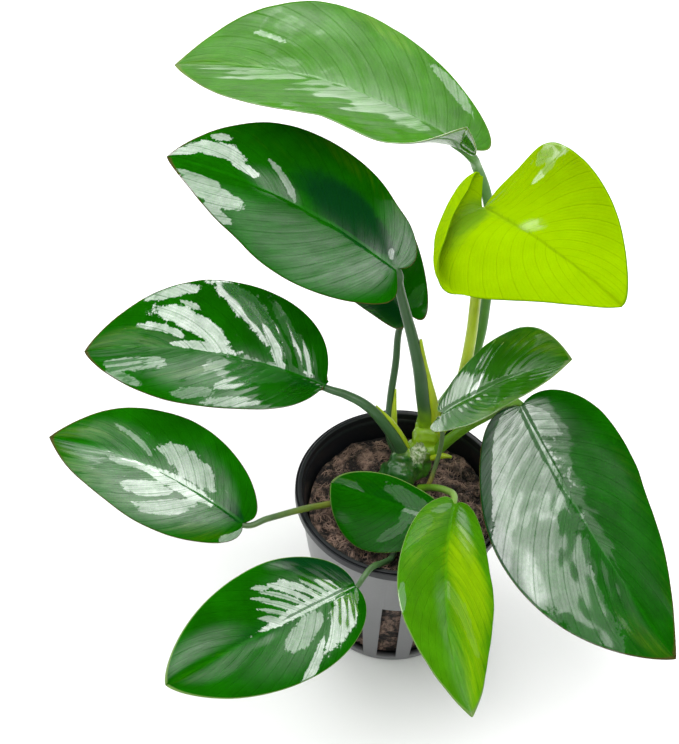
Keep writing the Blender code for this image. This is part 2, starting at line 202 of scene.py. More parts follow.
LEAVES = {
    "top": Leaf((7.5, 44, 129), heading=146, pitch=7, roll=-2, droop=33, sweep=18, twist=-2,
                length=86, width=44, egg=-0.05, point=0.8, lobe=0.07, fold=(17, 12),
                curl=(7, 1), lean=-0.05, skew=0.24, cup=75,
                trims=((0.42, 1, -2.0, 0.06), (0.3, 1, 1.4, 0.05))),
    "upper": Leaf((-7, 20, 109), heading=147, pitch=13, roll=-16, droop=26, sweep=10, twist=2,
                  length=68.5, width=36.5, egg=0.22, point=0.5, lobe=0.05, curl=(-9, -1),
                  lean=-0.04, skew=0.25, back=(3.0, 0),
                  trims=((0.26, -1, -0.8, 0.05), (0.55, 1, -0.6, 0.06))),
    "upper_back": Leaf((-4, 31, 83), heading=120, pitch=9, roll=-15, droop=42, sweep=1, twist=2,
                       length=53, width=27.5, egg=-0.12, lobe=0.12, curl=(-2, -5)),
    "left": Leaf((-22, 12, 72.5), heading=160, pitch=6, roll=-15, droop=37, sweep=10, twist=0,
                 length=68.5, width=36.5, egg=0.15, lobe=-0.01, fold=(11, 11), lean=-0.09,
                 quilt=0.1),
    "lower_left": Leaf((-39.5, -20, 54.5), heading=151, pitch=17, roll=-12, droop=39, sweep=8,
                       twist=4, length=58.5, width=31.5, egg=0.16, point=0.8, skew=0.08,
                       trims=((0.1, -1, -1.2, 0.1), (0.6, 1, -1.0, 0.12))),
    "front_left": Leaf((-10, -33, 49.5), heading=220, pitch=5, roll=-15, droop=13, sweep=-5,
                       twist=-1, length=55.5, width=31, point=0.4, lobe=0.01, fold=(9, 9),
                       curl=(-6, -3)),
    "front": Leaf((13, -12, 59.5), heading=-99, pitch=-8, roll=-17, droop=5, sweep=33, twist=-22,
                  length=59, width=28, egg=0, point=0.8, lobe=0.03, fold=(8, 9), curl=(-7, -6),
                  trims=((0.08, -1, -2.0, 0.08),)),
    "centre": Leaf((10, -14, 55.5), heading=164, pitch=-2, roll=-44, droop=10, sweep=-12,
                   twist=-5, length=31, width=20, egg=-0.06, point=0.3, lobe=0.04,
                   fold=(11, 11), lean=0.34, skew=-0.07),
    "right": Leaf((27.5, 9, 74.5), heading=-52, pitch=-32, roll=19, droop=5, sweep=17, twist=-6,
                  length=75.5, width=44.5, egg=0.32, point=0.7, lobe=0.03, fold=(2, 10),
                  curl=(-17, -7), lean=-0.07, skew=0.12,
                  trims=((0.2, -1, -2.2, 0.14), (0.55, 1, -1.0, 0.12))),
    "inner_right": Leaf((8, 6, 73), heading=3, pitch=49, roll=9, droop=23, sweep=-2, twist=1,
                        length=38, width=22.5, egg=-0.04, point=0.9, lobe=0.06, fold=(8, 12),
                        curl=(-3, 2), lean=0.17, skew=-0.38, back=(0, 3.4),
                        trims=((0.5, -1, -0.8, 0.15), (0.06, -1, -5.0, 0.07))),
    "young": Leaf((12.5, 26, 127), heading=-54, pitch=25, roll=2, droop=21, sweep=3, twist=1,
                  length=54.5, width=41, egg=0.58, point=0.1, lobe=0.04, fold=(22, 7),
                  curl=(23, -21), quilt=0.03, scroll=True,
                  trims=((0.10, 1, -6.5, 0.09), (0.2, -1, -2.0, 0.07))),
}

# Stalks: points from the rootstock up to the blade, with the radii at both ends.
STALKS = {
    "top": (((5.0, 17.2, 53.5), (9.5, 22, 60), (13.5, 26.5, 65), (16, 31, 71.5), (17, 37, 82.5),
             (17, 42, 95.5), (14.5, 45, 110.5), (11, 46, 120)), 1.7, 1.3),
    "young": (((7.4, 14.2, 53.5), (10.6, 16, 63), (12.5, 18.5, 72), (13.5, 22, 83.5),
               (13.5, 24, 96), (13.5, 25.5, 112.5)), 1.8, 1.3),
    "upper": (((5.0, 16.2, 55.5), (4.5, 15.6, 60.5), (3.3, 15.8, 66), (1.3, 16.9, 76.5),
               (-1.2, 18.4, 86), (-4, 19.5, 95.5), (-6, 20, 103.5)), 3.0, 1.0),
    "upper_back": (((-2.0, 11.5, 48.5), (-4.5, 15, 52), (-5, 20, 59), (-4.5, 26, 68),
                    (-4.5, 30, 75)), 1.1, 0.9),
    "left": (((0.6, 10.4, 46.6), (-1.9, 9.9, 54.2), (-5.5, 10.3, 60.5), (-11, 11, 67),
              (-16.5, 12, 69.5)), 2.3, 1.0),
    "lower_left": (((-1.5, 2.5, 44.5), (-8, 0, 44.5), (-16.8, -4.2, 45.8), (-25.3, -11.2, 50.6),
                    (-33.5, -17, 53)), 1.0, 0.8),
    "front_left": (((0.5, 1.0, 44.0), (-0.3, -10, 43.8), (-1.5, -19.2, 44.6), (-3.6, -23.4, 47.4),
                    (-6.3, -27, 49.9), (-8.3, -30.5, 50)), 0.9, 0.75),
    "centre": (((2.8, 3.0, 45.5), (6, -3.5, 49), (9.5, -9.5, 53)), 0.9, 0.8),
    "front": (((4.4, 3.6, 45.0), (6.4, 2.4, 47.0), (8.8, -0.5, 50.8), (11.2, -4.0, 54.3),
               (12.8, -8.0, 57.4)), 1.1, 0.85),
    "inner_right": (((4.8, 4.6, 42.0), (6.3, 3.6, 45.6), (8.0, 5.8, 52.6), (8.8, 7.4, 60.5),
                     (8.2, 7.0, 68.5)), 0.7, 0.55),
    "right": (((7.0, 11.6, 49.5), (12, 11, 58.5), (16, 10.3, 64.5), (20.5, 9.6, 70),
               (24.3, 9.8, 74.3)), 1.6, 1.1),
}
STALK_TAPER = 0.5
# Places along the blade where the stalk runs under its midrib, with the share of its girth.
STALK_IN_BLADE = ((-0.01, 0.95), (0.04, 0.85), (0.1, 0.65), (0.18, 0.4))
UNDER_FACE = 0.5             # the gap between a blade's face and the stalk under it
# Sheaths at the stalks' feet: points from the foot up, with the radius at the foot.
SHEATHS = {
    "upper": (((6.8, 14.2, 54), (7.0, 14.6, 59.5), (5.7, 15.7, 65.5), (3.9, 16.8, 72),
               (2.2, 17.5, 79), (0.9, 18.0, 86)), 1.5),
    "left": (((0.9, 10.8, 50.5), (-0.9, 10.7, 55.5), (-4.3, 11.1, 61.5),
              (-8.6, 11.7, 66.6)), 0.95),
    "upper_back": (((-3.0, 13.6, 50.4), (-3.7, 17.4, 56.5), (-3.9, 21.5, 62.5)), 1.0),
}
SHEATH_TAPER = 0.75

# Rootstock: lumps as (centre, radius, stretch along the stem).
ROOTSTOCK_LUMPS = (
    ((-0.9, 6.4, 47.0), 4.5, 1.0), ((1.4, 9.2, 48.2), 3.7, 1.0), ((3.9, 12.4, 50.0), 3.7, 0.9),
    ((5.1, 14.3, 53.8), 3.8, 0.9), ((7.0, 12.6, 51.0), 2.7, 1.0), ((1.8, 10.0, 45.0), 3.4, 1.1),
    ((4.4, 14.2, 47.2), 3.4, 1.0), ((4.2, 12.5, 43.6), 3.2, 1.1), ((-0.5, 8.8, 50.0), 3.1, 1.0),
    ((-3.4, 7.2, 46.0), 3.0, 1.0), ((5.0, 16.0, 56.8), 3.1, 0.95))
ROOTSTOCK_PATCHES = {"old": ((-1.2, 6.4, 48.0), 5.6), "papery": ((3.4, 9.6, 51.6), 2.8)}
ROOTSTOCK_VOXEL = 0.35
RINGS_PER_MM, RING_HEIGHT = 2.2, 0.10    # leaf scars round the stem
KNOT_SIZES, KNOT_HEIGHT = (2.2, 4.5), 0.45
ROOTSTOCK_LIGHT, ROOTSTOCK_OLD = (0.24, 0.44, 0.004), (0.006, 0.085, 0.003)
SPROUT_PATH = ((6.8, 9.4, 50.6), (9.6, 9.0, 52.4), (11.9, 8.6, 52.8))
SPROUT_RADII = (0.75, 0.8, 0.35)

# Where each blade is wet, bloomed, darker or yellower. The darker marks are painted shade, the
# yellower ones are partly a painted glow of light through the blade, and the wet ones also pale
# the green with a painted sheen. A mark is (place along the midrib, place across from -1 at the
# right margin to 1, reach along, reach across, strength), and it follows the side veins. A
# negative strength cuts a hole in the other marks.
WET = {
    "top": ((0.63, -0.60, 0.012, 0.12, 0.5), (0.12, -0.86, 0.07, 0.10, 0.4),
            (0.99, 0.1, 0.03, 0.8, 0.2)),
    "upper": ((0.71, -0.62, 0.055, 0.28, 0.95), (0.79, -0.85, 0.05, 0.22, 1.1),
              (0.715, -0.26, 0.03, 0.12, 1.1), (0.63, -0.86, 0.02, 0.07, 0.8),
              (0.59, -0.25, 0.014, 0.25, 0.4), (0.60, 0.78, 0.08, 0.24, 0.8),
              (0.68, 0.72, 0.04, 0.2, 0.6), (0.48, 0.94, 0.05, 0.07, 0.6),
              (0.10, -0.24, 0.022, 0.11, 0.5)),
    "upper_back": ((0.05, -0.6, 0.05, 0.3, 0.4), (0.2, 0.93, 0.25, 0.09, 0.3)),
    "left": ((0.33, -0.60, 0.055, 0.40, 1.15), (0.315, -0.20, 0.03, 0.22, 1.0),
             (0.22, -0.65, 0.03, 0.22, 0.8), (0.16, -0.32, 0.04, 0.28, 0.9),
             (0.555, -0.40, 0.05, 0.36, 1.15), (0.655, -0.42, 0.028, 0.22, 0.95),
             (0.47, -0.93, 0.06, 0.09, 1.0), (0.49, -0.68, 0.012, 0.1, 0.8),
             (0.62, -0.06, 0.1, 0.07, 1.0), (0.34, 0.46, 0.04, 0.18, 0.75),
             (0.37, 0.20, 0.15, 0.2, 0.3), (0.65, 0.62, 0.055, 0.28, 0.5),
             (0.56, 0.93, 0.06, 0.08, 0.4), (0.37, 0.80, 0.05, 0.12, 0.3),
             (0.22, 0.86, 0.07, 0.11, 0.55)),
    "lower_left": ((0.46, 0.08, 0.19, 0.12, 1.1), (0.39, -0.30, 0.12, 0.22, 0.65),
                   (0.585, -0.42, 0.016, 0.3, 0.35), (0.66, 0.17, 0.05, 0.14, 0.5),
                   (0.45, 0.44, 0.06, 0.22, 0.8), (0.325, 0.50, 0.05, 0.3, 0.6),
                   (0.386, 0.58, 0.011, 0.24, -1.5),
                   (-0.06, 0.82, 0.06, 0.2, 0.42)),
    "front_left": ((0.33, -0.05, 0.29, 0.08, 1.15), (0.19, -0.26, 0.035, 0.18, 0.8),
                   (0.255, -0.30, 0.014, 0.22, 0.7), (0.30, -0.36, 0.02, 0.26, 0.85),
                   (0.35, -0.30, 0.013, 0.24, 0.75), (0.39, -0.34, 0.012, 0.24, 0.7),
                   (0.44, -0.24, 0.016, 0.2, 0.75), (0.49, -0.22, 0.012, 0.18, 0.65),
                   (0.54, -0.16, 0.018, 0.12, 0.6), (0.335, -0.52, 0.022, 0.12, 0.95),
                   (0.365, -0.66, 0.014, 0.08, 0.7), (0.43, -0.5, 0.01, 0.1, 0.6),
                   (0.17, 0.42, 0.12, 0.36, 1.05), (0.295, 0.80, 0.025, 0.26, 0.9),
                   (0.275, 0.52, 0.009, 0.22, -1.0), (0.40, 0.28, 0.08, 0.22, 0.5),
                   (0.02, 0.35, 0.05, 0.2, 0.9)),
    "front": ((0.05, -0.42, 0.05, 0.25, 0.5), (0.17, -0.75, 0.07, 0.2, 0.22),
              (0.35, -0.93, 0.035, 0.07, 0.7), (0.55, 0.3, 0.04, 0.5, 0.12)),
    "centre": ((0.33, -0.30, 0.17, 0.42, 0.36), (0.32, 0.10, 0.14, 0.2, 0.36),
               (0.36, 0.52, 0.05, 0.24, 0.32), (0.77, -0.55, 0.07, 0.42, 0.26)),
    "right": ((0.26, -0.52, 0.36, 0.56, 0.34), (0.53, -0.55, 0.12, 0.50, 0.28),
              (0.385, -0.82, 0.035, 0.12, 1.6), (0.69, -0.18, 0.05, 0.24, -1.4),
              (0.03, -0.95, 0.17, 0.16, -1.6), (0.10, 0.18, 0.14, 0.18, 0.3)),
    "inner_right": ((0.34, 0.50, 0.016, 0.42, 1.1), (0.425, 0.40, 0.012, 0.34, 1.4),
                    (0.40, 0.14, 0.03, 0.1, 1.1), (0.12, 0.42, 0.22, 0.5, 0.42),
                    (0.15, -0.45, 0.26, 0.55, 0.42), (-0.05, -0.7, 0.08, 0.4, 0.75),
                    (0.02, 0.95, 0.12, 0.13, -1.2)),
    "young": ((0.15, 0.90, 0.06, 0.15, 0.7), (0.20, 0.66, 0.02, 0.16, 0.5),
              (0.0, 0.3, 0.02, 0.3, 1.0)),
}
BLOOM = {
    "top": ((0.45, 0.0, 0.6, 1.1, 0.12), (0.4, 0.55, 0.5, 0.52, 0.9),
            (0.0, 0.8, 0.14, 0.6, 1.2), (0.50, -0.8, 0.08, 0.2, 0.4)),
    "upper": ((0.18, 0.4, 0.16, 0.5, 0.3), (0.40, 0.5, 0.2, 0.45, 0.13),
              (0.65, -0.1, 0.07, 0.2, 0.2), (0.0, -0.5, 0.14, 0.5, 0.3)),
    "upper_back": ((0.2, 0.9, 0.3, 0.2, 0.3), (0.1, -0.5, 0.2, 0.6, 0.12)),
    "left": ((0.10, 0.55, 0.2, 0.45, 0.5), (0.45, 0.35, 0.2, 0.35, 0.3),
             (0.80, 0.0, 0.12, 0.8, 0.10), (0.22, -0.35, 0.12, 0.35, 0.12)),
    "lower_left": ((0.4, 0.35, 0.25, 0.6, 0.42), (0.68, 0.3, 0.14, 0.45, 0.35),
                   (0.68, -0.5, 0.12, 0.35, 0.14), (0.24, -0.25, 0.12, 0.35, 0.12)),
    "front_left": ((0.70, -0.62, 0.10, 0.36, 0.2), (0.32, 0.3, 0.25, 0.45, 0.14),
                   (0.15, -0.35, 0.2, 0.35, 0.12), (0.72, 0.35, 0.1, 0.3, 0.14),
                   (0.60, 0.16, 0.05, 0.08, 0.3), (0.20, -0.85, 0.04, 0.1, 0.2)),
    "front": ((0.70, -0.16, 0.18, 0.14, 0.32), (0.92, 0.0, 0.2, 0.9, 0.28),
              (0.12, 0.4, 0.14, 0.2, 0.24), (0.1, -0.5, 0.2, 0.5, 0.14)),
    "centre": ((0.3, 0.6, 0.3, 0.4, 0.12), (0.95, -0.7, 0.1, 0.4, 0.12),
               (0.62, 0.80, 0.04, 0.12, 0.25), (0.24, 0.93, 0.06, 0.08, 0.3)),
    "right": ((0.3, -0.4, 0.5, 0.6, 0.12), (0.10, 0.25, 0.25, 0.35, 0.3),
              (0.45, 0.35, 0.3, 0.5, 0.10), (0.3, 0.03, 0.4, 0.12, 0.24),
              (0.33, 0.66, 0.06, 0.15, 0.3), (0.62, 0.60, 0.03, 0.4, 0.2),
              (0.77, -0.25, 0.06, 0.3, 0.25)),
    "inner_right": ((0.3, -0.4, 0.6, 0.9, 0.3), (0.15, 0.6, 0.4, 0.7, 0.3)),
    "young": ((0.03, 0.3, 0.05, 0.5, 0.12), (0.45, 0.1, 0.04, 0.1, 0.25)),
}
# Painted shade: the darker marks stand for shade on the blades' faces, folds and rolled flap, and
# for a dark reflection on the upper blade.
DARKER = {
    "top": ((0.05, -0.6, 0.15, 0.3, 0.3), (0.45, 0.02, 0.5, 0.05, 0.3)),
    "upper": ((0.30, -0.26, 0.23, 0.31, 1.0), (0.1, 0.1, 0.1, 0.2, 0.4)),
    "upper_back": ((0.3, 0.5, 0.5, 0.7, 0.8),),
    "left": ((0.1, 0.1, 0.2, 0.25, 0.4),),
    "lower_left": ((0.10, -0.05, 0.14, 0.3, 0.6),),
    "front_left": ((0.05, -0.75, 0.16, 0.45, 1.0), (0.6, -0.05, 0.16, 0.25, 0.4)),
    "front": ((0.35, -0.6, 0.14, 0.3, 0.2), (0.4, -0.25, 0.2, 0.2, 0.1),
              (0.1, 0.4, 0.12, 0.3, 0.2)),
    "centre": ((0.6, -0.3, 0.2, 0.4, 0.3), (0.0, 0.0, 0.1, 0.4, 0.4)),
    "right": ((0.08, -0.95, 0.3, 0.2, 0.7), (0.70, -0.16, 0.1, 0.25, 0.2)),
    "inner_right": ((0.40, 0.75, 0.05, 0.2, 0.3), (0.02, 0.95, 0.12, 0.15, 0.5)),
    "young": ((0.45, 0.0, 0.5, 0.04, 0.3), (0.0, -0.84, 0.17, 0.2, 0.3),
              (0.08, -0.22, 0.14, 0.3, 0.8)),
}
# Partly painted light: the yellower marks stand partly for light shining through the blades and
# partly for yellower tissue.
YELLOWER = {
    "top": ((0.9, 0.0, 0.15, 1.0, 0.3), (0.30, -0.92, 0.1, 0.16, 0.3)),
    "upper": ((0.25, -0.95, 0.25, 0.2, 0.3), (0.55, -0.8, 0.2, 0.3, 0.15)),
    "left": ((0.85, -0.4, 0.2, 0.7, 0.35), (0.52, 0.45, 0.05, 0.3, 0.3)),
    "lower_left": ((0.8, -0.6, 0.25, 0.4, 0.35), (0.1, 0.75, 0.14, 0.3, 0.35),
                   (0.6, 0.9, 0.3, 0.3, 0.3)),
    "front_left": ((0.9, 0.2, 0.2, 0.8, 0.25),),
    "front": ((0.38, 0.45, 0.22, 0.5, 0.8), (0.65, 0.5, 0.3, 0.55, 0.45),
              (0.15, -0.6, 0.2, 0.4, 0.3), (0.85, -0.2, 0.2, 0.6, 0.2)),
    "centre": ((0.7, -0.5, 0.2, 0.5, 0.2),),
    "right": ((0.85, -0.7, 0.2, 0.5, 0.35), (0.4, 0.9, 0.3, 0.2, 0.2)),
    "inner_right": ((0.65, 0.8, 0.22, 0.35, 0.35), (0.3, -0.88, 0.25, 0.2, 0.4)),
}


MARK_FALL = 0.7              # a mark is half gone at its reach


def marked(marks, along, across):
    """How far a place on a blade lies inside the marks, from 0 to 1, and their strength."""
    shape, hole, total, level = 0.0, 0.0, 0.001, 0.0
    for x, t, reach_x, reach_t, strength in marks:
        far = ((along - x) / reach_x) ** 2 + ((across - t) / reach_t) ** 2
        inside = math.exp(-MARK_FALL * far * far)
        if strength < 0:
            hole = max(hole, -strength * inside)
        else:
            shape = max(shape, inside)
            total += inside
            level += inside * strength
    return max(shape - hole, 0.0), level / total


def falling(value, middle, width):
    """1 well below middle and 0 well above it."""
    return 1 / (1 + math.exp((value - middle) / width))


def rolled(leaf, angle, across):
    """Like Leaf.at on the right half, with the lobe raised and the margin rolled over."""
    done = (angle - SINUS_ANGLE) / (TIP_ANGLE - SINUS_ANGLE)
    fade = falling(done, ROLL_END, ROLL_FADE)
    flat_share = 1 - ROLL_SHARE * fade
    share = abs(across)
    wide = share / flat_share
    spot, x, off_rib, off_margin = leaf.at(angle, -min(wide, 1.0))
    spot = spot + Vector(LOBE_RISE) * (falling(done, LOBE_END, LOBE_FADE) * min(wide, 1.0) ** 2)
    if wide > 1:
        out = (leaf.at(angle, -1.0)[0] - leaf.at(angle, -BESIDE_MARGIN)[0]).normalized()
        up = leaf.frame(x)[2]
        up = (up - up.dot(out) * out).normalized()
        size = min((off_rib + off_margin) / ROLL_FULL, 1.0)
        past = (share - flat_share) * leaf.width / 2 * size
        turn = min(past / ROLL_RADIUS, ROLL_TURN) * fade
        flat = max(past - ROLL_RADIUS * ROLL_TURN, 0.0)
        spot = spot + out * (ROLL_RADIUS * math.sin(turn) + flat * math.cos(turn))
        spot = spot + up * (ROLL_RADIUS * (1 - math.cos(turn)) + flat * math.sin(turn))
    return spot, x, off_rib, (1 - share) * leaf.width / 2


def tint(name, description, default):
    """A colour that a user can change."""
    return FloatVectorProperty(name=name, description=description, default=default,
                               subtype="COLOR", size=3)


def extent(name, description, default, least=0.0):
    """A length in metres that a user can change."""
    return FloatProperty(name=name, description=description, default=default, min=least,
                         unit="LENGTH", precision=5)


class BladeSettings(bpy.types.PropertyGroup):
    """Sizes and greens of the leaf blades"""
    thickness: extent("Thickness", "Thickness of a blade's flat parts", 0.45 * MM, 0.1 * MM)
    rib_depth: extent("Midrib", "How far the midrib stands out below", 1.1 * MM)
    vein_pairs: IntProperty(name="Vein pairs", description="Side veins on each half of a blade",
                            default=9, min=1)
    dark: tint("Dark green", "The oldest blades", (0.004, 0.085, 0.0003))
    mid: tint("Mid green", "The blade at the top", (0.036, 0.155, 0.004))
    inner: tint("Inner green", "The small blade on the right", (0.018, 0.115, 0.002))
    fresh: tint("Fresh green", "The blade in front", (0.05, 0.2, 0.002))
    lime: tint("Lime", "The youngest blade", (0.2, 0.345, 0.0002))


class StalkSettings(bpy.types.PropertyGroup):
    """Colours of the stalks, their sheaths and the rootstock"""
    green: tint("Stalk green", "The stalks' skin", (0.035, 0.10, 0.03))
    lime: tint("Sheath lime", "Sheaths and the young stalk", (0.36, 0.48, 0.01))
    root_green: tint("Rootstock green", "The rootstock's skin", (0.05, 0.22, 0.01))


class PotSettings(bpy.types.PropertyGroup):
    """Slots and plastic of the pot"""
    slot_count: IntProperty(name="Slots", description="Slots round the wall", default=14, min=3)
    slot_width: extent("Slot width", "Width of a slot", 5.0 * MM, MM)
    plastic: tint("Plastic", "The pot's colour inside", (0.006, 0.007, 0.009))
    # Painted reflection: the bright floor reflected in the wall's outside, given as a grey.
    outside_sheen: tint("Outside", "The wall's colour outside", (0.17, 0.17, 0.175))


class MediumSettings(bpy.types.PropertyGroup):
    """Fibres of the growing medium"""
    strands: IntProperty(name="Strands", description="Loose fibres on the plug", default=2000,
                         min=0)
    strand_width: extent("Strand width", "Thickness of a fibre", 0.24 * MM, 0.02 * MM)
    brown: tint("Fibre brown", "The fibres' middle colour", (0.145, 0.095, 0.07))


class StageSettings(bpy.types.PropertyGroup):
    """Floor and lights"""
    floor: tint("Floor", "The floor's colour", (0.94, 0.94, 0.94))
    key: FloatProperty(name="Key light", description="Power of the large softbox, in watts",
                       default=26.0, min=0.0)
    sky: FloatProperty(name="Surroundings", description="Brightness of the room",
                       default=0.6, min=0.0)


class Wire:
    """A node's output, on which shader maths is written as Python expressions."""

    def __init__(self, finish, socket):
        self.finish, self.socket = finish, socket

    def maths(self, operation, *values):
        return self.finish.add("ShaderNodeMath", {"operation": operation},
                               dict(enumerate((self, *values))))

    def __add__(self, other):
        return self.maths("ADD", other)

    __radd__ = __add__

    def __sub__(self, other):
        return self.maths("SUBTRACT", other)

    def __rsub__(self, other):
        return self.finish.add("ShaderNodeMath", {"operation": "SUBTRACT"}, {0: other, 1: self})

    def __mul__(self, other):
        return self.maths("MULTIPLY", other)

    __rmul__ = __mul__

    def __abs__(self):
        return self.maths("ABSOLUTE")

    def fraction(self):
        return self.maths("FRACT")

    def step(self, low, high):
        """0 below low and 1 above high, with a smooth change between, or the reverse."""
        return self.finish.add("ShaderNodeMapRange", {"interpolation_type": "SMOOTHSTEP"},
                               {"Value": self, "From Min": low, "From Max": high})


# The Mix node's sockets for colours: factor, A and B, and the result.
COLOUR_MIX_INPUTS, COLOUR_MIX_OUTPUT = (0, 6, 7), 2


class Finish:
    """A material's node tree, with one method that adds any node to it."""

    def __init__(self, name):
        self.material = bpy.data.materials.new(name)
        self.material.use_nodes = True
        self.tree = self.material.node_tree
        self.tree.nodes.clear()

    def add(self, kind, settings=None, inputs=None, output=0):
        """Add a node with its settings and the values or wires of its sockets."""
        node = self.tree.nodes.new(kind)
        for key, value in (settings or {}).items():
            setattr(node, key, value)
        for key, value in (inputs or {}).items():
            if isinstance(value, Wire):
                self.tree.links.new(value.socket, node.inputs[key])
            else:
                node.inputs[key].default_value = value
        return Wire(self, node.outputs[output]) if node.outputs else node

    def place(self):
        """Object coordinates, in metres."""
        return self.add("ShaderNodeTexCoord", output="Object")

    def attribute(self, name):
        """A value that write_attribute has put on the mesh."""
        return self.add("ShaderNodeAttribute", {"attribute_name": name}, output="Fac")

    def grain(self, where, scale, detail=3.0, rough=0.5, warp=0.0):
        """Noise from 0 to 1, with scale waves in a metre of where."""
        return self.add("ShaderNodeTexNoise", inputs={
            "Vector": where, "Scale": scale, "Detail": detail, "Roughness": rough,
            "Distortion": warp})

    def blend(self, mask, first, second):
        """first where mask is 0 and second where it is 1."""
        first, second = (value if isinstance(value, Wire) else (*value, 1.0)
                         for value in (first, second))
        return self.add("ShaderNodeMix", {"data_type": "RGBA"},
                        dict(zip(COLOUR_MIX_INPUTS, (mask, first, second))), COLOUR_MIX_OUTPUT)

    def bump(self, height, depth):
        """A normal for a relief whose height of 1 stands out by depth metres."""
        return self.add("ShaderNodeBump", inputs={"Height": height, "Distance": depth})

    def surface(self, **inputs):
        """Close the tree with a Principled shader, whose sockets are given by their names."""
        named = {key.replace("_", " "): value for key, value in inputs.items()}
        shader = self.add("ShaderNodeBsdfPrincipled", inputs={
            key: value if isinstance(value, (Wire, float, int)) or len(value) != 3
            or "Radius" in key else (*value, 1.0) for key, value in named.items()})
        self.add("ShaderNodeOutputMaterial", inputs={"Surface": shader})
        return self.material


def scaled(colour, factor):
    """A colour made lighter or darker."""
    return tuple(min(channel * factor, 1.0) for channel in colour)


def choose(obj):
    """Make an object the only selected one, and the active one."""
    bpy.ops.object.select_all(action="DESELECT")
    obj.select_set(True)
    bpy.context.view_layer.objects.active = obj


def add_object(name, data):
    """Put a new object into the scene and choose it."""
    obj = bpy.data.objects.new(name, data)
    bpy.context.scene.collection.objects.link(obj)
    choose(obj)
    return obj


def join(objects):
    """Join objects into one."""
    for obj in objects:
        obj.select_set(True)
    bpy.ops.object.join()
    return bpy.context.object


def close_seams():
    """Merge the chosen mesh's doubled points and turn its faces outwards."""
    bpy.ops.object.mode_set(mode="EDIT")
    bpy.ops.mesh.select_all(action="SELECT")
    bpy.ops.mesh.remove_doubles(threshold=MERGE_BELOW)
    bpy.ops.mesh.normals_make_consistent(inside=False)
    bpy.ops.object.mode_set(mode="OBJECT")


def apply_modifiers(obj):
    """Apply a piece's modifiers in their order."""
    choose(obj)
    for modifier in list(obj.modifiers):
        bpy.ops.object.modifier_apply(modifier=modifier.name)


def finish_piece(obj, name, material, slot, *nodes):
    """Settle a piece's place, name and material, and let it ride with the part."""
    choose(obj)
    bpy.ops.object.transform_apply(location=True, rotation=True, scale=True)
    obj.name = obj.data.name = name
    obj.data.materials.clear()
    obj.data.materials.append(material)
    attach(obj, "root")
    if nodes:
        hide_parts(*nodes)
    return obj


def write_attribute(obj, name, values):
    """Put a value on each point of a mesh, for its material to read."""
    attribute = obj.data.attributes.new(name, "FLOAT", "POINT")
    attribute.data.foreach_set("value", values)


# Leaf and stem tissue lets green light through furthest.
TISSUE = {"Subsurface_Weight": 0.25, "Subsurface_Radius": (0.5, 1.0, 0.1)}
# Grain sizes on the blades, in waves per metre.
BLOTS, MOTTLE, SPECKS = 190.0, 130.0, 1300.0
PATCH_BORDER = (0.32, 0.48)  # the wet field's values over a patch's border
RIM_WIDTHS = (0.22, 0.08)    # from where the rim's colour begins to where it is full
FINE_VEINS = 8.0             # for each vein pair


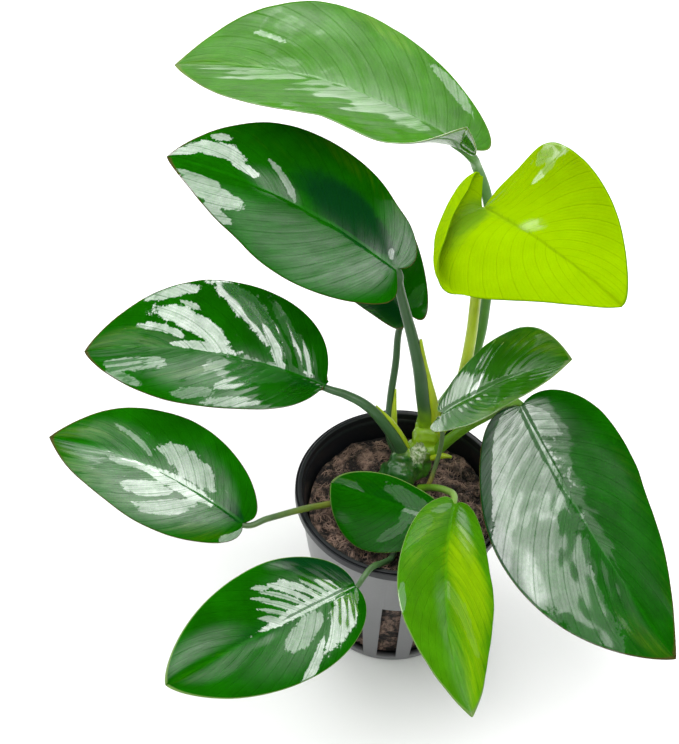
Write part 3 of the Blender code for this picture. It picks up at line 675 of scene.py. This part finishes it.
def blade_finish(name, colour, rim, streaky, calm):
    """A blade's skin: mottled green, fine veins, a thin rim and ragged wet patches."""
    skin = Finish(f"blade {name}")
    where = skin.place()
    phase, share = skin.attribute("vein"), skin.attribute("share")
    margin, rib = skin.attribute("margin"), skin.attribute("rib")
    wet, glare, bloom = (skin.attribute(key) for key in ("wet", "glare", "bloom"))
    darker, yellower = skin.attribute("darker"), skin.attribute("yellower")
    # Noise in broad streaks and fine threads along the veins, and in plain grains.
    combed = skin.add("ShaderNodeCombineXYZ", inputs={0: phase * 2.3, 1: share * 1.7, 2: 7.0})
    threads = skin.add("ShaderNodeCombineXYZ", inputs={0: phase * 7.0, 1: share * 3.0, 2: 2.0})
    streaks = skin.grain(combed, 1.0, 6.0, 0.66, 0.4)
    brushed = skin.grain(threads, 1.0, 4.0, 0.6)
    blots = skin.grain(where, BLOTS, 7.0, 0.7, 0.8)
    mottle = skin.grain(where, MOTTLE, 5.0, 0.6)
    speck = skin.grain(where, SPECKS, 3.0, 0.6)
    # The wet patches, whose borders the noises break up.
    edge = (streaks - 0.5) * (2.6 * streaky) + (blots - 0.5) * 1.7 + (speck - 0.5) * 0.5
    patch = (wet + edge).step(*PATCH_BORDER)
    # Grooves over the side veins, and the fine veins between them.
    groove = abs((phase * 2.0).fraction() - 0.5).step(0.42, 0.5)
    fine = abs((phase * FINE_VEINS).fraction() - 0.5).step(0.2, 0.5)
    dull = groove * 0.35 + fine * 0.12
    # The mottled green, then its yellower places, partly a painted glow of light through the blade,
    #     its darker places of painted shade, painted shade along the veins, the midrib, a painted
    #     sheen under the patches, and the rim.
    green = skin.blend(mottle.step(0.3, 0.75), scaled(colour, 0.8 + 0.17 * calm),
                       scaled(colour, 1.16 - 0.14 * calm))
    # Partly a painted glow of light through the blade, partly yellower tissue.
    green = skin.blend((yellower + (streaks - 0.5) * 0.9).step(0.15, 0.9), green,
                       (colour[0] + 0.8 * colour[1], colour[1] * 1.9, colour[2]))
    # Painted shade: the darker marks darken the green and turn it bluer.
    green = skin.blend((darker + (blots - 0.5) * 0.8).step(0.1, 0.8), green,
                       (colour[0] * 0.5, colour[1] * (0.35 + 0.27 * calm) + 0.005,
                        colour[2] + 0.006))
    # Painted shade along the vein grooves and fine veins, with a random speckle.
    green = skin.blend(dull * 0.45 + (speck - 0.5) * 0.3, green, scaled(colour, 0.5))
    green = skin.blend(rib.step(0.6, 0.2) * 0.35, green, scaled(colour, 1.7 - 1.3 * calm))
    # Painted sheen: under the wet patches the green is paled, as their gloss would.
    green = skin.blend(patch * glare * 0.14, green, (0.2, 0.45, 0.2))
    green = skin.blend(margin.step(*RIM_WIDTHS), green, rim)
    relief = skin.bump(groove * -0.8 + fine * -0.35 + speck * 0.4, 0.05 * MM)
    # The gloss, crisp in the wet patches and soft in the bloom.
    shine = 0.85 + (blots - 0.5) * 1.3 + (brushed - 0.5) * 0.9 + (speck - 0.5) * 0.5 - dull
    haze = bloom * (1.0 + (streaks - 0.5) * 2.4 + (brushed - 0.5) * 1.4 - dull)
    return skin.surface(Base_Color=green, Roughness=0.42 + speck * 0.12, Normal=relief,
                        Specular_IOR_Level=0.0, Subsurface_Scale=0.9 * MM, **TISSUE,
                        Coat_Weight=patch * glare * shine * 1.15 + haze, Coat_Roughness=0.1,
                        Coat_IOR=2.6)


def make_blade(name, leaf, settings, material, slot):
    """A fine grid laid over the leaf's surface, quilted by its veins and thickened."""
    bpy.ops.object.select_all(action="DESELECT")
    bpy.ops.mesh.primitive_grid_add(x_subdivisions=ROWS, y_subdivisions=COLUMNS, size=2.0)
    blade = bpy.context.object
    count = len(blade.data.vertices)
    fields = {key: [] for key in ("vein", "share", "rib", "margin", "wet", "glare", "bloom",
                                  "darker", "yellower")}
    lifts, places = [], []
    seed = Vector((leaf.length, leaf.width, leaf.heading))
    # Each grid point goes to its place on the leaf, and its fields are noted.
    for vertex in blade.data.vertices:
        done, across = (vertex.co.x + 1) / 2, vertex.co.y
        angle = SINUS_ANGLE + (TIP_ANGLE - SINUS_ANGLE) * done
        lay = rolled if leaf.scroll and across < 0 else Leaf.at
        point, x, off_rib, off_margin = lay(leaf, angle, across)
        share = abs(across)
        along = done - VEIN_SWEEP * share
        phase = along * settings.vein_pairs + (VEIN_SHIFT if across > 0 else 0.0)
        inward = min(share / SWELL_INSET, 1.0) * (1 - share ** 5)
        swell = abs(math.sin(2 * math.pi * phase)) ** SWELL_SHAPE - SWELL_LEVEL
        start = WAVE_STARTS[0 if across > 0 else 1]
        wave = math.sin(2 * math.pi * (WAVES * x + start) + leaf.heading)
        broad, small = (noise.noise(point / size + seed) for size in LUMP_SIZES)
        lump = LUMP_LIFT * (broad + 0.4 * small)
        groove = GROOVE_DEPTH * math.exp(-(off_rib / GROOVE_WIDTH) ** 2) * max(1 - x, 0.0) ** 0.4
        lifts.append(leaf.quilt * inward * swell - groove
                     + (leaf.wave * share ** 2.5 * wave + lump) * math.sin(angle))
        vertex.co = point * MM
        places.append(x)
        wet, glare = marked(WET[name], along, across)
        for key, value in (("vein", phase + ABOVE_ZERO), ("share", share), ("rib", off_rib),
                           ("margin", off_margin), ("wet", wet), ("glare", glare)):
            fields[key].append(value)
        for key, marks in (("bloom", BLOOM), ("darker", DARKER), ("yellower", YELLOWER)):
            shape, level = marked(marks.get(name, ()), along, across)
            fields[key].append(shape * level)
    for key, values in fields.items():
        write_attribute(blade, key, values)
    blade.data.update()
    # The face gets its relief, and the underside its midrib and thinner margin.
    normals = [vertex.normal.copy() for vertex in blade.data.vertices]
    for vertex, normal, lift in zip(blade.data.vertices, normals, lifts):
        vertex.co += normal * lift * MM
    solid = blade.modifiers.new("thickness", "SOLIDIFY")
    solid.thickness = settings.thickness
    solid.offset = -1.0
    apply_modifiers(blade)
    for i in range(count):
        thin = 1 - MARGIN_THIN * math.exp(-fields["margin"][i] / MARGIN_WIDTH)
        ridge = settings.rib_depth * math.exp(-(fields["rib"][i] / RIDGE_WIDTH) ** 2)
        ridge *= max(1 - places[i], 0.0) ** 0.7 * min(max(places[i] / RIDGE_START + 1, 0.0), 1.0)
        drop = settings.thickness * thin + ridge
        blade.data.vertices[count + i].co = blade.data.vertices[i].co - normals[i] * drop
    blade.data.shade_smooth()
    return finish_piece(blade, f"blade_{name}", material, slot, f"leaf_{name}")


RIM_BROWN, RIM_PALE = (0.05, 0.045, 0.01), (0.12, 0.2, 0.05)
# Each blade's colour among the settings, its rim's colour, how streaky its wet patches are,
# how calm its mottling is, and its material slot.
BLADE_LOOKS = {
    "top": ("mid", (0.1, 0.16, 0.03), 0.25, 0.3, "blade_mid"),
    "upper": ("dark", RIM_BROWN, 0.2, 0.0, "blade_dark"),
    "upper_back": ("dark", RIM_BROWN, 0.3, 0.0, "blade_dark"),
    "left": ("dark", RIM_BROWN, 0.4, 0.0, "blade_dark"),
    "lower_left": ("dark", RIM_BROWN, 0.35, 0.0, "blade_dark"),
    "front_left": ("dark", RIM_PALE, 0.35, 0.0, "blade_dark"),
    "front": ("fresh", RIM_PALE, 0.5, 0.2, "blade_fresh"),
    "centre": ("dark", RIM_PALE, 0.15, 0.2, "blade_mid"),
    "right": ("dark", RIM_BROWN, 0.3, 0.0, "blade_dark"),
    "inner_right": ("inner", RIM_PALE, 0.1, 0.2, "blade_mid"),
    "young": ("lime", (0.1, 0.2, 0.002), 0.7, 0.9, "blade_lime"),
}


class ANUBIAS_OT_blades(bpy.types.Operator):
    """Lay the leaf blades over their outlines, with veins, midribs and margins"""
    bl_idname = "anubias.blades"
    bl_label = "Leaf blades"

    def execute(self, context):
        made = context.scene.anubias_blades
        for name, leaf in LEAVES.items():
            colour, rim, streaky, calm, slot = BLADE_LOOKS[name]
            skin = blade_finish(name, tuple(getattr(made, colour)), rim, streaky, calm)
            make_blade(name, leaf, made, skin, slot)
        return {"FINISHED"}


def tube(name, points, radii, rings=8, sides=6):
    """A smooth round stem through points, with its own radius at each, as a mesh."""
    data = bpy.data.curves.new(name, "CURVE")
    data.dimensions = "3D"
    data.resolution_u = rings
    data.bevel_depth = MM
    data.bevel_resolution = sides
    data.use_fill_caps = True
    spline = data.splines.new("BEZIER")
    spline.bezier_points.add(len(points) - 1)
    for knot, point, radius in zip(spline.bezier_points, points, radii):
        knot.co = Vector(point) * MM
        knot.radius = radius
        knot.handle_left_type = knot.handle_right_type = "AUTO"
    add_object(name, data)
    bpy.ops.object.convert(target="MESH")
    close_seams()
    obj = bpy.context.object
    obj.data.shade_smooth()
    return obj


def stalk_finish(name, low, high, foot, head):
    """A stalk's skin, from its colour at height foot to that at height head."""
    skin = Finish(f"stalk {name}")
    where = skin.place()
    height = skin.add("ShaderNodeSeparateXYZ", inputs={0: where}, output="Z")
    mottle = skin.grain(where, 260.0, 4.0)
    streak = skin.grain(where, 1500.0, 2.0)
    climb = (height + (mottle - 0.5) * 4 * MM).step(foot * MM, head * MM)
    green = skin.blend(climb, low, high)
    green = skin.blend(mottle.step(0.4, 0.7) * 0.35, green, scaled(high, 0.55))
    return skin.surface(Base_Color=green, Roughness=0.26 + streak * 0.2, IOR=1.45,
                        Normal=skin.bump(streak, 0.04 * MM), Subsurface_Scale=MM, **TISSUE)


STALK_FRESH = (0.12, 0.30, 0.01)
FOOT_ENDS = (2, 12)          # above a stalk's foot, where its lower colour gives way


class ANUBIAS_OT_stalks(bpy.types.Operator):
    """Draw each blade's stalk from the rootstock into its midrib, and its sheath"""
    bl_idname = "anubias.stalks"
    bl_label = "Stalks and sheaths"

    def execute(self, context):
        made = context.scene.anubias_stalks
        green, lime = tuple(made.green), tuple(made.lime)
        colours = {
            "top": (STALK_FRESH, (0.06, 0.2, 0.015)),
            "upper": ((0.2, 0.4, 0.005), green),
            "lower_left": ((0.16, 0.2, 0.02), green),
            "front_left": (green, (0.085, 0.15, 0.05)),
            "front": (STALK_FRESH, (0.2, 0.36, 0.06)),
            "right": (STALK_FRESH, STALK_FRESH),
            "inner_right": ((0.32, 0.24, 0.03), (0.12, 0.2, 0.07)),
            "young": (lime, lime),
        }
        for name, leaf in LEAVES.items():
            path, start, end = STALKS[name]
            low, high = colours.get(name, (green, green))
            span = len(path)
            radii = [start + (end - start) * (i / span) ** STALK_TAPER for i in range(span)]
            points = [Vector(p) for p in path]
            for x, girth in STALK_IN_BLADE:
                points.append(leaf.on_midrib(x) - leaf.frame(x)[2] * (end * girth + UNDER_FACE))
                radii.append(end * girth)
            stalk = tube(f"stem_{name}", points, radii)
            skin = stalk_finish(name, low, high, *(path[0][2] + end for end in FOOT_ENDS))
            slot = "stalk_lime" if name == "young" else "stalk_green"
            finish_piece(stalk, f"stem_{name}", skin, slot, f"stalk_{name}")
        for name, (path, width) in SHEATHS.items():
            span = len(path) - 1
            widths = [width * (1 - SHEATH_TAPER * (i / span) ** 2) for i in range(span + 1)]
            sheath = tube(f"sheath_{name}", path, widths)
            skin = stalk_finish(f"sheath {name}", lime, lime, 50, 60)
            finish_piece(sheath, f"sheath_{name}", skin, "stalk_lime")
        return {"FINISHED"}


class ANUBIAS_OT_rootstock(bpy.types.Operator):
    """Grow the knotted rootstock from its lumps, with the small sprout"""
    bl_idname = "anubias.rootstock"
    bl_label = "Rootstock and sprout"

    def execute(self, context):
        made = context.scene.anubias_stalks
        lumps = []
        for centre, radius, stretch in ROOTSTOCK_LUMPS:
            bpy.ops.object.select_all(action="DESELECT")
            bpy.ops.mesh.primitive_ico_sphere_add(subdivisions=4, radius=radius * MM,
                                                  location=Vector(centre) * MM,
                                                  scale=(1.0, stretch, 1.0))
            lumps.append(bpy.context.object)
        stock = join(lumps)
        mesh = stock.modifiers.new("one skin", "REMESH")
        mesh.mode, mesh.voxel_size = "VOXEL", ROOTSTOCK_VOXEL * MM
        smooth = stock.modifiers.new("soften", "SMOOTH")
        smooth.factor, smooth.iterations = 0.6, 14
        apply_modifiers(stock)
        bpy.ops.object.transform_apply(location=True, rotation=True, scale=True)
        stock.data.update()
        for vertex in stock.data.vertices:
            ring = math.sin((vertex.co.y + 0.8 * vertex.co.z) / MM * RINGS_PER_MM)
            lump = sum(noise.noise(vertex.co / MM / size) for size in KNOT_SIZES)
            vertex.co += vertex.normal * (RING_HEIGHT * ring + KNOT_HEIGHT * lump) * MM
        stock.data.shade_smooth()
        for key, (spot, reach) in ROOTSTOCK_PATCHES.items():
            write_attribute(stock, key, [
                math.exp(-((vertex.co / MM - Vector(spot)).length / reach) ** 4)
                for vertex in stock.data.vertices])
        skin = Finish("rootstock")
        where = skin.place()
        height = skin.add("ShaderNodeSeparateXYZ", inputs={0: where}, output="Z")
        mottle = skin.grain(where, 300.0, 5.0, 0.6)
        torn = skin.grain(where, 280.0, 6.0, 0.72, 1.2)
        creases = skin.grain(where, 1100.0, 4.0, 0.7)
        climb = (height + (mottle - 0.5) * 5 * MM).step(48 * MM, 54 * MM)
        green = skin.blend(climb, tuple(made.root_green), ROOTSTOCK_LIGHT)
        green = skin.blend((skin.attribute("old") + (mottle - 0.5) * 0.8).step(0.25, 0.6), green,
                           ROOTSTOCK_OLD)
        green = skin.blend(mottle.step(0.45, 0.75) * 0.4, green, (0.1, 0.11, 0.02))
        paper = (skin.attribute("papery") + (torn - 0.5) * 3.0).step(0.4, 0.6)
        pale = skin.blend(creases.step(0.35, 0.65), (0.07, 0.16, 0.02), (0.55, 0.6, 0.42))
        green = skin.blend(paper * 0.85, green, pale)
        relief = skin.bump(torn * paper * 0.4 + creases * 0.3, 0.12 * MM)
        material = skin.surface(Base_Color=green, Roughness=0.3 - paper * 0.12 + creases * 0.1,
                                IOR=1.45, Normal=relief, Coat_Weight=0.4, Coat_Roughness=0.08)
        finish_piece(stock, "rhizome", material, "rootstock_green", "rootstock")
        shoot = tube("shoot", SPROUT_PATH, SPROUT_RADII)
        skin = stalk_finish("shoot", tuple(made.lime), tuple(made.lime), 40, 60)
        finish_piece(shoot, "shoot", skin, "stalk_lime", "sprout")
        return {"FINISHED"}


def turned(name, profile, sides):
    """A closed ring of (radius, height) points, swept round Z by the spin operator."""
    bpy.ops.object.select_all(action="DESELECT")
    mesh = bpy.data.meshes.new(name)
    mesh.from_pydata([(r * MM, 0.0, z * MM) for r, z in profile],
                     [(i, i + 1) for i in range(len(profile) - 1)], [])
    obj = add_object(name, mesh)
    bpy.ops.object.mode_set(mode="EDIT")
    bpy.ops.mesh.select_all(action="SELECT")
    bpy.ops.mesh.spin(steps=sides, angle=2 * math.pi, center=(0, 0, 0), axis=(0, 0, 1))
    close_seams()
    return obj


# The pot's profile, from the floor's inside over the rim and down to the underside.
POT_PROFILE = (
    (0.0, 1.5), (17.4, 1.5), (17.9, 2.0), (25.0, 45.4), (25.15, 45.9), (25.6, 46.3), (25.75, 47.6),
    (25.9, 47.9), (26.2, 48.0), (26.7, 48.0), (26.9, 47.85), (26.95, 47.45), (27.1, 47.35),
    (27.2, 47.7), (27.35, 47.75), (27.5, 47.6), (27.5, 45.6), (27.3, 45.4), (26.4, 45.3),
    (26.25, 45.0), (22.0, 19.6), (19.15, 0.9), (19.0, 0.45), (18.5, 0.0), (17.0, 0.0),
    (16.6, 0.4), (0.0, 0.4))
POT_SIDES = 168
SLOT_FOOT, SLOT_HEAD, SLOT_LEAN = 2.0, 28.0, 8.6
SLOT_CUT = 6.0               # the cutters' thickness, more than the wall's
WALL_MIDDLE = 21.3           # the wall's radius halfway up the slots
BAND_FOOT = 45.2             # the underside of the band round the rim
EDGE_RADIUS, SHARP_ABOVE = 0.15, 40      # softened where faces meet at more than this
SMOOTH_BELOW = 35


class ANUBIAS_OT_pot(bpy.types.Operator):
    """Turn the pot with its grooved rim, and cut the slots"""
    bl_idname = "anubias.pot"
    bl_label = "Slotted pot"

    def execute(self, context):
        made = context.scene.anubias_pot
        pot = turned("pot_shell", POT_PROFILE, POT_SIDES)
        cutters = []
        for i in range(made.slot_count):
            turn = math.radians(-90 + 360 * i / made.slot_count)
            bpy.ops.object.select_all(action="DESELECT")
            bpy.ops.mesh.primitive_cube_add(
                size=1.0, rotation=(0.0, math.radians(SLOT_LEAN), turn),
                location=(WALL_MIDDLE * MM * math.cos(turn), WALL_MIDDLE * MM * math.sin(turn),
                          (SLOT_FOOT + SLOT_HEAD) / 2 * MM),
                scale=(SLOT_CUT * MM, made.slot_width, (SLOT_HEAD - SLOT_FOOT) * MM))
            cutters.append(bpy.context.object)
        cutter = join(cutters)
        slots = pot.modifiers.new("slots", "BOOLEAN")
        slots.operation, slots.object = "DIFFERENCE", cutter
        soften = pot.modifiers.new("soften", "BEVEL")
        soften.width, soften.segments = EDGE_RADIUS * MM, 2
        soften.angle_limit = math.radians(SHARP_ABOVE)
        apply_modifiers(pot)
        bpy.data.objects.remove(cutter, do_unlink=True)
        choose(pot)
        bpy.ops.object.shade_smooth_by_angle(angle=math.radians(SMOOTH_BELOW))
        write_attribute(pot, "outside", [
            float(v.co.x * v.normal.x + v.co.y * v.normal.y > 0.3 * math.hypot(v.co.x, v.co.y)
                  and v.co.z < BAND_FOOT * MM) for v in pot.data.vertices])
        skin = Finish("black plastic")
        where = skin.place()
        haze = skin.grain(where, 60.0, 4.0)
        grit = skin.grain(where, 1400.0, 2.0)
        # Painted reflection: outside, the black plastic is a lighter grey that stands for the bright
        # floor it reflects; inside it stays black.
        tone = skin.blend(skin.attribute("outside") * (0.8 + haze * 0.3), tuple(made.plastic),
                          tuple(made.outside_sheen))
        material = skin.surface(Base_Color=tone, Roughness=0.3 + haze * 0.12, IOR=1.42,
                                Normal=skin.bump(grit, 0.02 * MM))
        finish_piece(pot, "pot_shell", material, "pot_plastic", "net_pot")
        return {"FINISHED"}


MEDIUM_RADIUS_LOW, MEDIUM_RADIUS_HIGH = 17.3, 23.6
MEDIUM_FLOOR, MEDIUM_EDGE, MEDIUM_CROWN = 1.9, 40.0, 42.3
MEDIUM_BACK = 1.4            # how much higher the plug's back stands
LUMP_SPAN, LUMP_START, LUMP_HEIGHT = (2.4, 2.7), (0.8, 1.17), 0.8
CLOD_SEED = 7                # without one, the clock would seed noise_vector
PLUG_RINGS, PLUG_ROWS, PLUG_SIDES = 84, 80, 300
CLOD_HEIGHT, STRAND_HEIGHT = 1.5, 1.4    # of the clods, and of the strands that lie on them
STRAND_STEP = 0.62


def medium_height(x, y):
    """The height of the plug's top at a place, without its fibres."""
    out = (x * x + y * y) / MEDIUM_RADIUS_HIGH ** 2
    mound = (MEDIUM_CROWN - MEDIUM_EDGE) * max(1 - out, 0.0)
    lump = math.sin(x / LUMP_SPAN[0] + LUMP_START[0]) * math.sin(y / LUMP_SPAN[1] + LUMP_START[1])
    back = MEDIUM_BACK * max(y, 0.0) / MEDIUM_RADIUS_HIGH
    return MEDIUM_EDGE + mound + back + LUMP_HEIGHT * lump


def clump(x, y, z):
    """The plug's clods and cracks, as a height of about -1 to 1."""
    place = Vector((x, y, z))
    place += noise.noise_vector(place / 7.0) * 5.0
    clods = noise.noise(place / 4.4) + 0.6 * noise.noise(place / 2.0)
    ridges = 1 - 2.2 * abs(noise.noise(place / 2.6 + Vector((9.0, 3.0, 5.0))))
    fine = noise.noise(place * 1.6) + 0.6 * noise.noise(place * 3.6)
    return 0.75 * clods + 0.45 * ridges - 0.35 + 0.3 * fine


def lay_strands(count, width):
    """Loose curling fibres over the plug's top, as one mesh."""
    chance = random.Random(11)
    data = bpy.data.curves.new("fibre_strands", "CURVE")
    data.dimensions = "3D"
    data.bevel_depth, data.bevel_resolution = width / 2, 0
    for i in range(count):
        out = MEDIUM_RADIUS_HIGH * 0.97 * math.sqrt(chance.random())
        turn = chance.uniform(0, 2 * math.pi)
        x, y = out * math.cos(turn), out * math.sin(turn)
        heading = chance.gauss(0.35, 0.8)
        lift = chance.uniform(-0.15, 0.4)
        spline = data.splines.new("POLY")
        steps = chance.randint(5, 9)
        spline.points.add(steps)
        for k, point in enumerate(spline.points):
            if math.hypot(x, y) > MEDIUM_RADIUS_HIGH * 0.985:
                x, y = x * 0.96, y * 0.96
            arch = lift + 0.25 * math.sin(math.pi * k / steps)
            level = medium_height(x, y) + STRAND_HEIGHT * clump(x, y, MEDIUM_EDGE) + arch
            point.co = (x * MM, y * MM, level * MM, 1.0)
            point.radius = chance.uniform(0.35, 0.7) if k in (0, steps) else 1.0
            heading += chance.gauss(0, 0.35)
            x += STRAND_STEP * math.cos(heading)
            y += STRAND_STEP * math.sin(heading)
    add_object("fibre_strands", data)
    bpy.ops.object.convert(target="MESH")
    return bpy.context.object


class ANUBIAS_OT_medium(bpy.types.Operator):
    """Mould the plug of growing medium and lay loose fibres over it"""
    bl_idname = "anubias.medium"
    bl_label = "Growing medium"

    def execute(self, context):
        made = context.scene.anubias_medium
        noise.seed_set(CLOD_SEED)
        profile = [(MEDIUM_RADIUS_HIGH * i / PLUG_RINGS, MEDIUM_EDGE)
                   for i in range(PLUG_RINGS + 1)]
        taper, depth = MEDIUM_RADIUS_LOW - MEDIUM_RADIUS_HIGH, MEDIUM_FLOOR - MEDIUM_EDGE
        profile += [(MEDIUM_RADIUS_HIGH + taper * i / PLUG_ROWS, MEDIUM_EDGE + depth * i / PLUG_ROWS)
                    for i in range(1, PLUG_ROWS + 1)]
        profile.append((0.0, MEDIUM_FLOOR))
        plug = turned("fibre_plug", profile, PLUG_SIDES)
        heights = []
        for vertex in plug.data.vertices:
            x, y, z = vertex.co / MM
            rough = clump(x, y, z)
            if z > MEDIUM_EDGE - 0.01:
                inside = 1 - 0.7 * (math.hypot(x, y) / MEDIUM_RADIUS_HIGH) ** 6
                vertex.co.z = (medium_height(x, y) + CLOD_HEIGHT * rough * inside) * MM
            elif z > MEDIUM_FLOOR + 0.5:
                out = 1 + (0.35 * min(rough, 0.6) - 0.1) / math.hypot(x, y)
                vertex.co.x *= out
                vertex.co.y *= out
            heights.append(rough)
        write_attribute(plug, "clump", heights)
        plug.data.shade_smooth()
        brown = tuple(made.brown)
        skin = Finish("matted fibre")
        where = skin.place()
        clumps = skin.attribute("clump")
        warp = skin.add("ShaderNodeVectorMath", {"operation": "MULTIPLY_ADD"}, {
            0: skin.add("ShaderNodeTexNoise", inputs={"Vector": where, "Scale": 90.0}, output=1),
            1: (0.012, 0.012, 0.012), 2: where})
        threads = skin.grain(warp, 700.0, 6.0, 0.75, 1.0)
        tone = skin.blend(threads.step(0.34, 0.62), scaled(brown, 0.08), scaled(brown, 1.5))
        # Painted shade in the cracks between the clods, and painted light on their tops.
        tone = skin.blend((clumps + (threads - 0.5) * 1.4).step(0.18, -0.42), tone,
                          scaled(brown, 0.05))
        tone = skin.blend((clumps + (threads - 0.5) * 2.4).step(0.15, 0.9) * 0.75, tone,
                          scaled(brown, 2.9))
        material = skin.surface(Base_Color=tone, Roughness=0.8,
                                Normal=skin.bump(threads, 0.5 * MM))
        finish_piece(plug, "fibre_plug", material, "medium_fibre", "growing_medium")
        strands = lay_strands(made.strands, made.strand_width)
        skin = Finish("loose fibre")
        shade = skin.grain(skin.place(), 350.0, 2.0)
        tone = skin.blend(shade.step(0.35, 0.65), scaled(brown, 0.1), scaled(brown, 2.3))
        material = skin.surface(Base_Color=tone, Roughness=0.6)
        finish_piece(strands, "fibre_strands", material, "medium_fibre")
        return {"FINISHED"}


# Softboxes: the name, the place and the size in metres, and the share of the key light's power.
SOFTBOXES = (("softbox_over", (-0.15, 0.13, 1.2), (1.75, 2.1), 1.0),
             ("softbox_front", (0.38, -0.72, 1.1), (0.75, 0.5), 0.12),
             ("softbox_back", (-0.45, 1.5, 0.9), (1.6, 0.8), 0.45),
             ("softbox_left", (-1.3, 0.45, 0.6), (0.8, 0.8), 0.2))
LIT_PLACE = (0.0, 0.02, 0.08)
FLOOR_SIZE = 6.0             # metres


class ANUBIAS_OT_stage(bpy.types.Operator):
    """Lay the pale floor, hang the softboxes and set up the camera"""
    bl_idname = "anubias.stage"
    bl_label = "Floor, lights and camera"

    def execute(self, context):
        made = context.scene.anubias_stage
        bpy.ops.object.select_all(action="DESELECT")
        bpy.ops.mesh.primitive_plane_add(size=FLOOR_SIZE)
        floor = bpy.context.object
        floor.name = "studio_floor"
        paint = Finish("pale floor")
        speck = paint.grain(paint.place(), 30.0, 3.0)
        tone = paint.blend(speck, scaled(made.floor, 0.98), tuple(made.floor))
        floor.data.materials.append(paint.surface(Base_Color=tone, Roughness=0.6))
        for name, place, size, share in SOFTBOXES:
            data = bpy.data.lights.new(name, "AREA")
            data.shape, data.energy = "RECTANGLE", made.key * share
            data.size, data.size_y = size
            lamp = add_object(name, data)
            lamp.location = place
            aim = Vector(LIT_PLACE) - Vector(place)
            lamp.rotation_euler = aim.to_track_quat("-Z", "Y").to_euler()
        world = bpy.data.worlds.new("studio")
        world.use_nodes = True
        sky = world.node_tree.nodes["Background"]
        sky.inputs["Color"].default_value = (1.0, 1.0, 1.0, 1.0)
        sky.inputs["Strength"].default_value = made.sky
        context.scene.world = world
        context.scene.view_settings.view_transform = "Standard"
        tilt, roll = math.radians(VIEW_ELEVATION), math.radians(VIEW_ROLL)
        forward = Vector((0.0, math.cos(tilt), -math.sin(tilt)))
        raised = Vector((0.0, math.sin(tilt), math.cos(tilt)))
        across = Vector((1.0, 0.0, 0.0))
        right = math.cos(roll) * across + math.sin(roll) * raised
        up = -math.sin(roll) * across + math.cos(roll) * raised
        data = bpy.data.cameras.new("camera")
        data.sensor_width = SENSOR
        data.lens = FOCAL_PIXELS * SENSOR / IMAGE_HEIGHT
        data.clip_start, data.clip_end = 0.01, 20.0
        camera = add_object("camera", data)
        place = (Vector(VIEW_TARGET) - forward * VIEW_DISTANCE) * MM
        turn = Matrix((right, up, -forward)).transposed()
        camera.matrix_world = Matrix.Translation(place) @ turn.to_4x4()
        context.scene.camera = camera
        return {"FINISHED"}


class ANUBIAS_PT_panel(bpy.types.Panel):
    """The sidebar's list of pieces"""
    bl_idname = "ANUBIAS_PT_panel"
    bl_label = "Potted anubias"
    bl_space_type = "VIEW_3D"
    bl_region_type = "UI"
    bl_category = "Anubias"

    def draw(self, context):
        for operator in OPERATORS:
            self.layout.operator(operator.bl_idname)
        for group in GROUPS:
            settings = getattr(context.scene, group)
            for key in settings.bl_rna.properties.keys():
                if key not in ("rna_type", "name"):
                    self.layout.prop(settings, key)


OPERATORS = (ANUBIAS_OT_pot, ANUBIAS_OT_medium, ANUBIAS_OT_rootstock, ANUBIAS_OT_stalks,
             ANUBIAS_OT_blades, ANUBIAS_OT_stage)
GROUPS = {"anubias_blades": BladeSettings, "anubias_stalks": StalkSettings,
          "anubias_pot": PotSettings, "anubias_medium": MediumSettings,
          "anubias_stage": StageSettings}


def register():
    for item in (*GROUPS.values(), *OPERATORS, ANUBIAS_PT_panel):
        bpy.utils.register_class(item)
    for name, group in GROUPS.items():
        setattr(bpy.types.Scene, name, PointerProperty(type=group))


def unregister():
    for name in GROUPS:
        delattr(bpy.types.Scene, name)
    for item in (ANUBIAS_PT_panel, *OPERATORS[::-1], *list(GROUPS.values())[::-1]):
        bpy.utils.unregister_class(item)


def main():
    """Build everything."""
    register()
    bpy.ops.anubias.pot()
    bpy.ops.anubias.medium()
    bpy.ops.anubias.rootstock()
    bpy.ops.anubias.stalks()
    bpy.ops.anubias.blades()
    bpy.ops.anubias.stage()


if __name__ == "__main__":
    main()
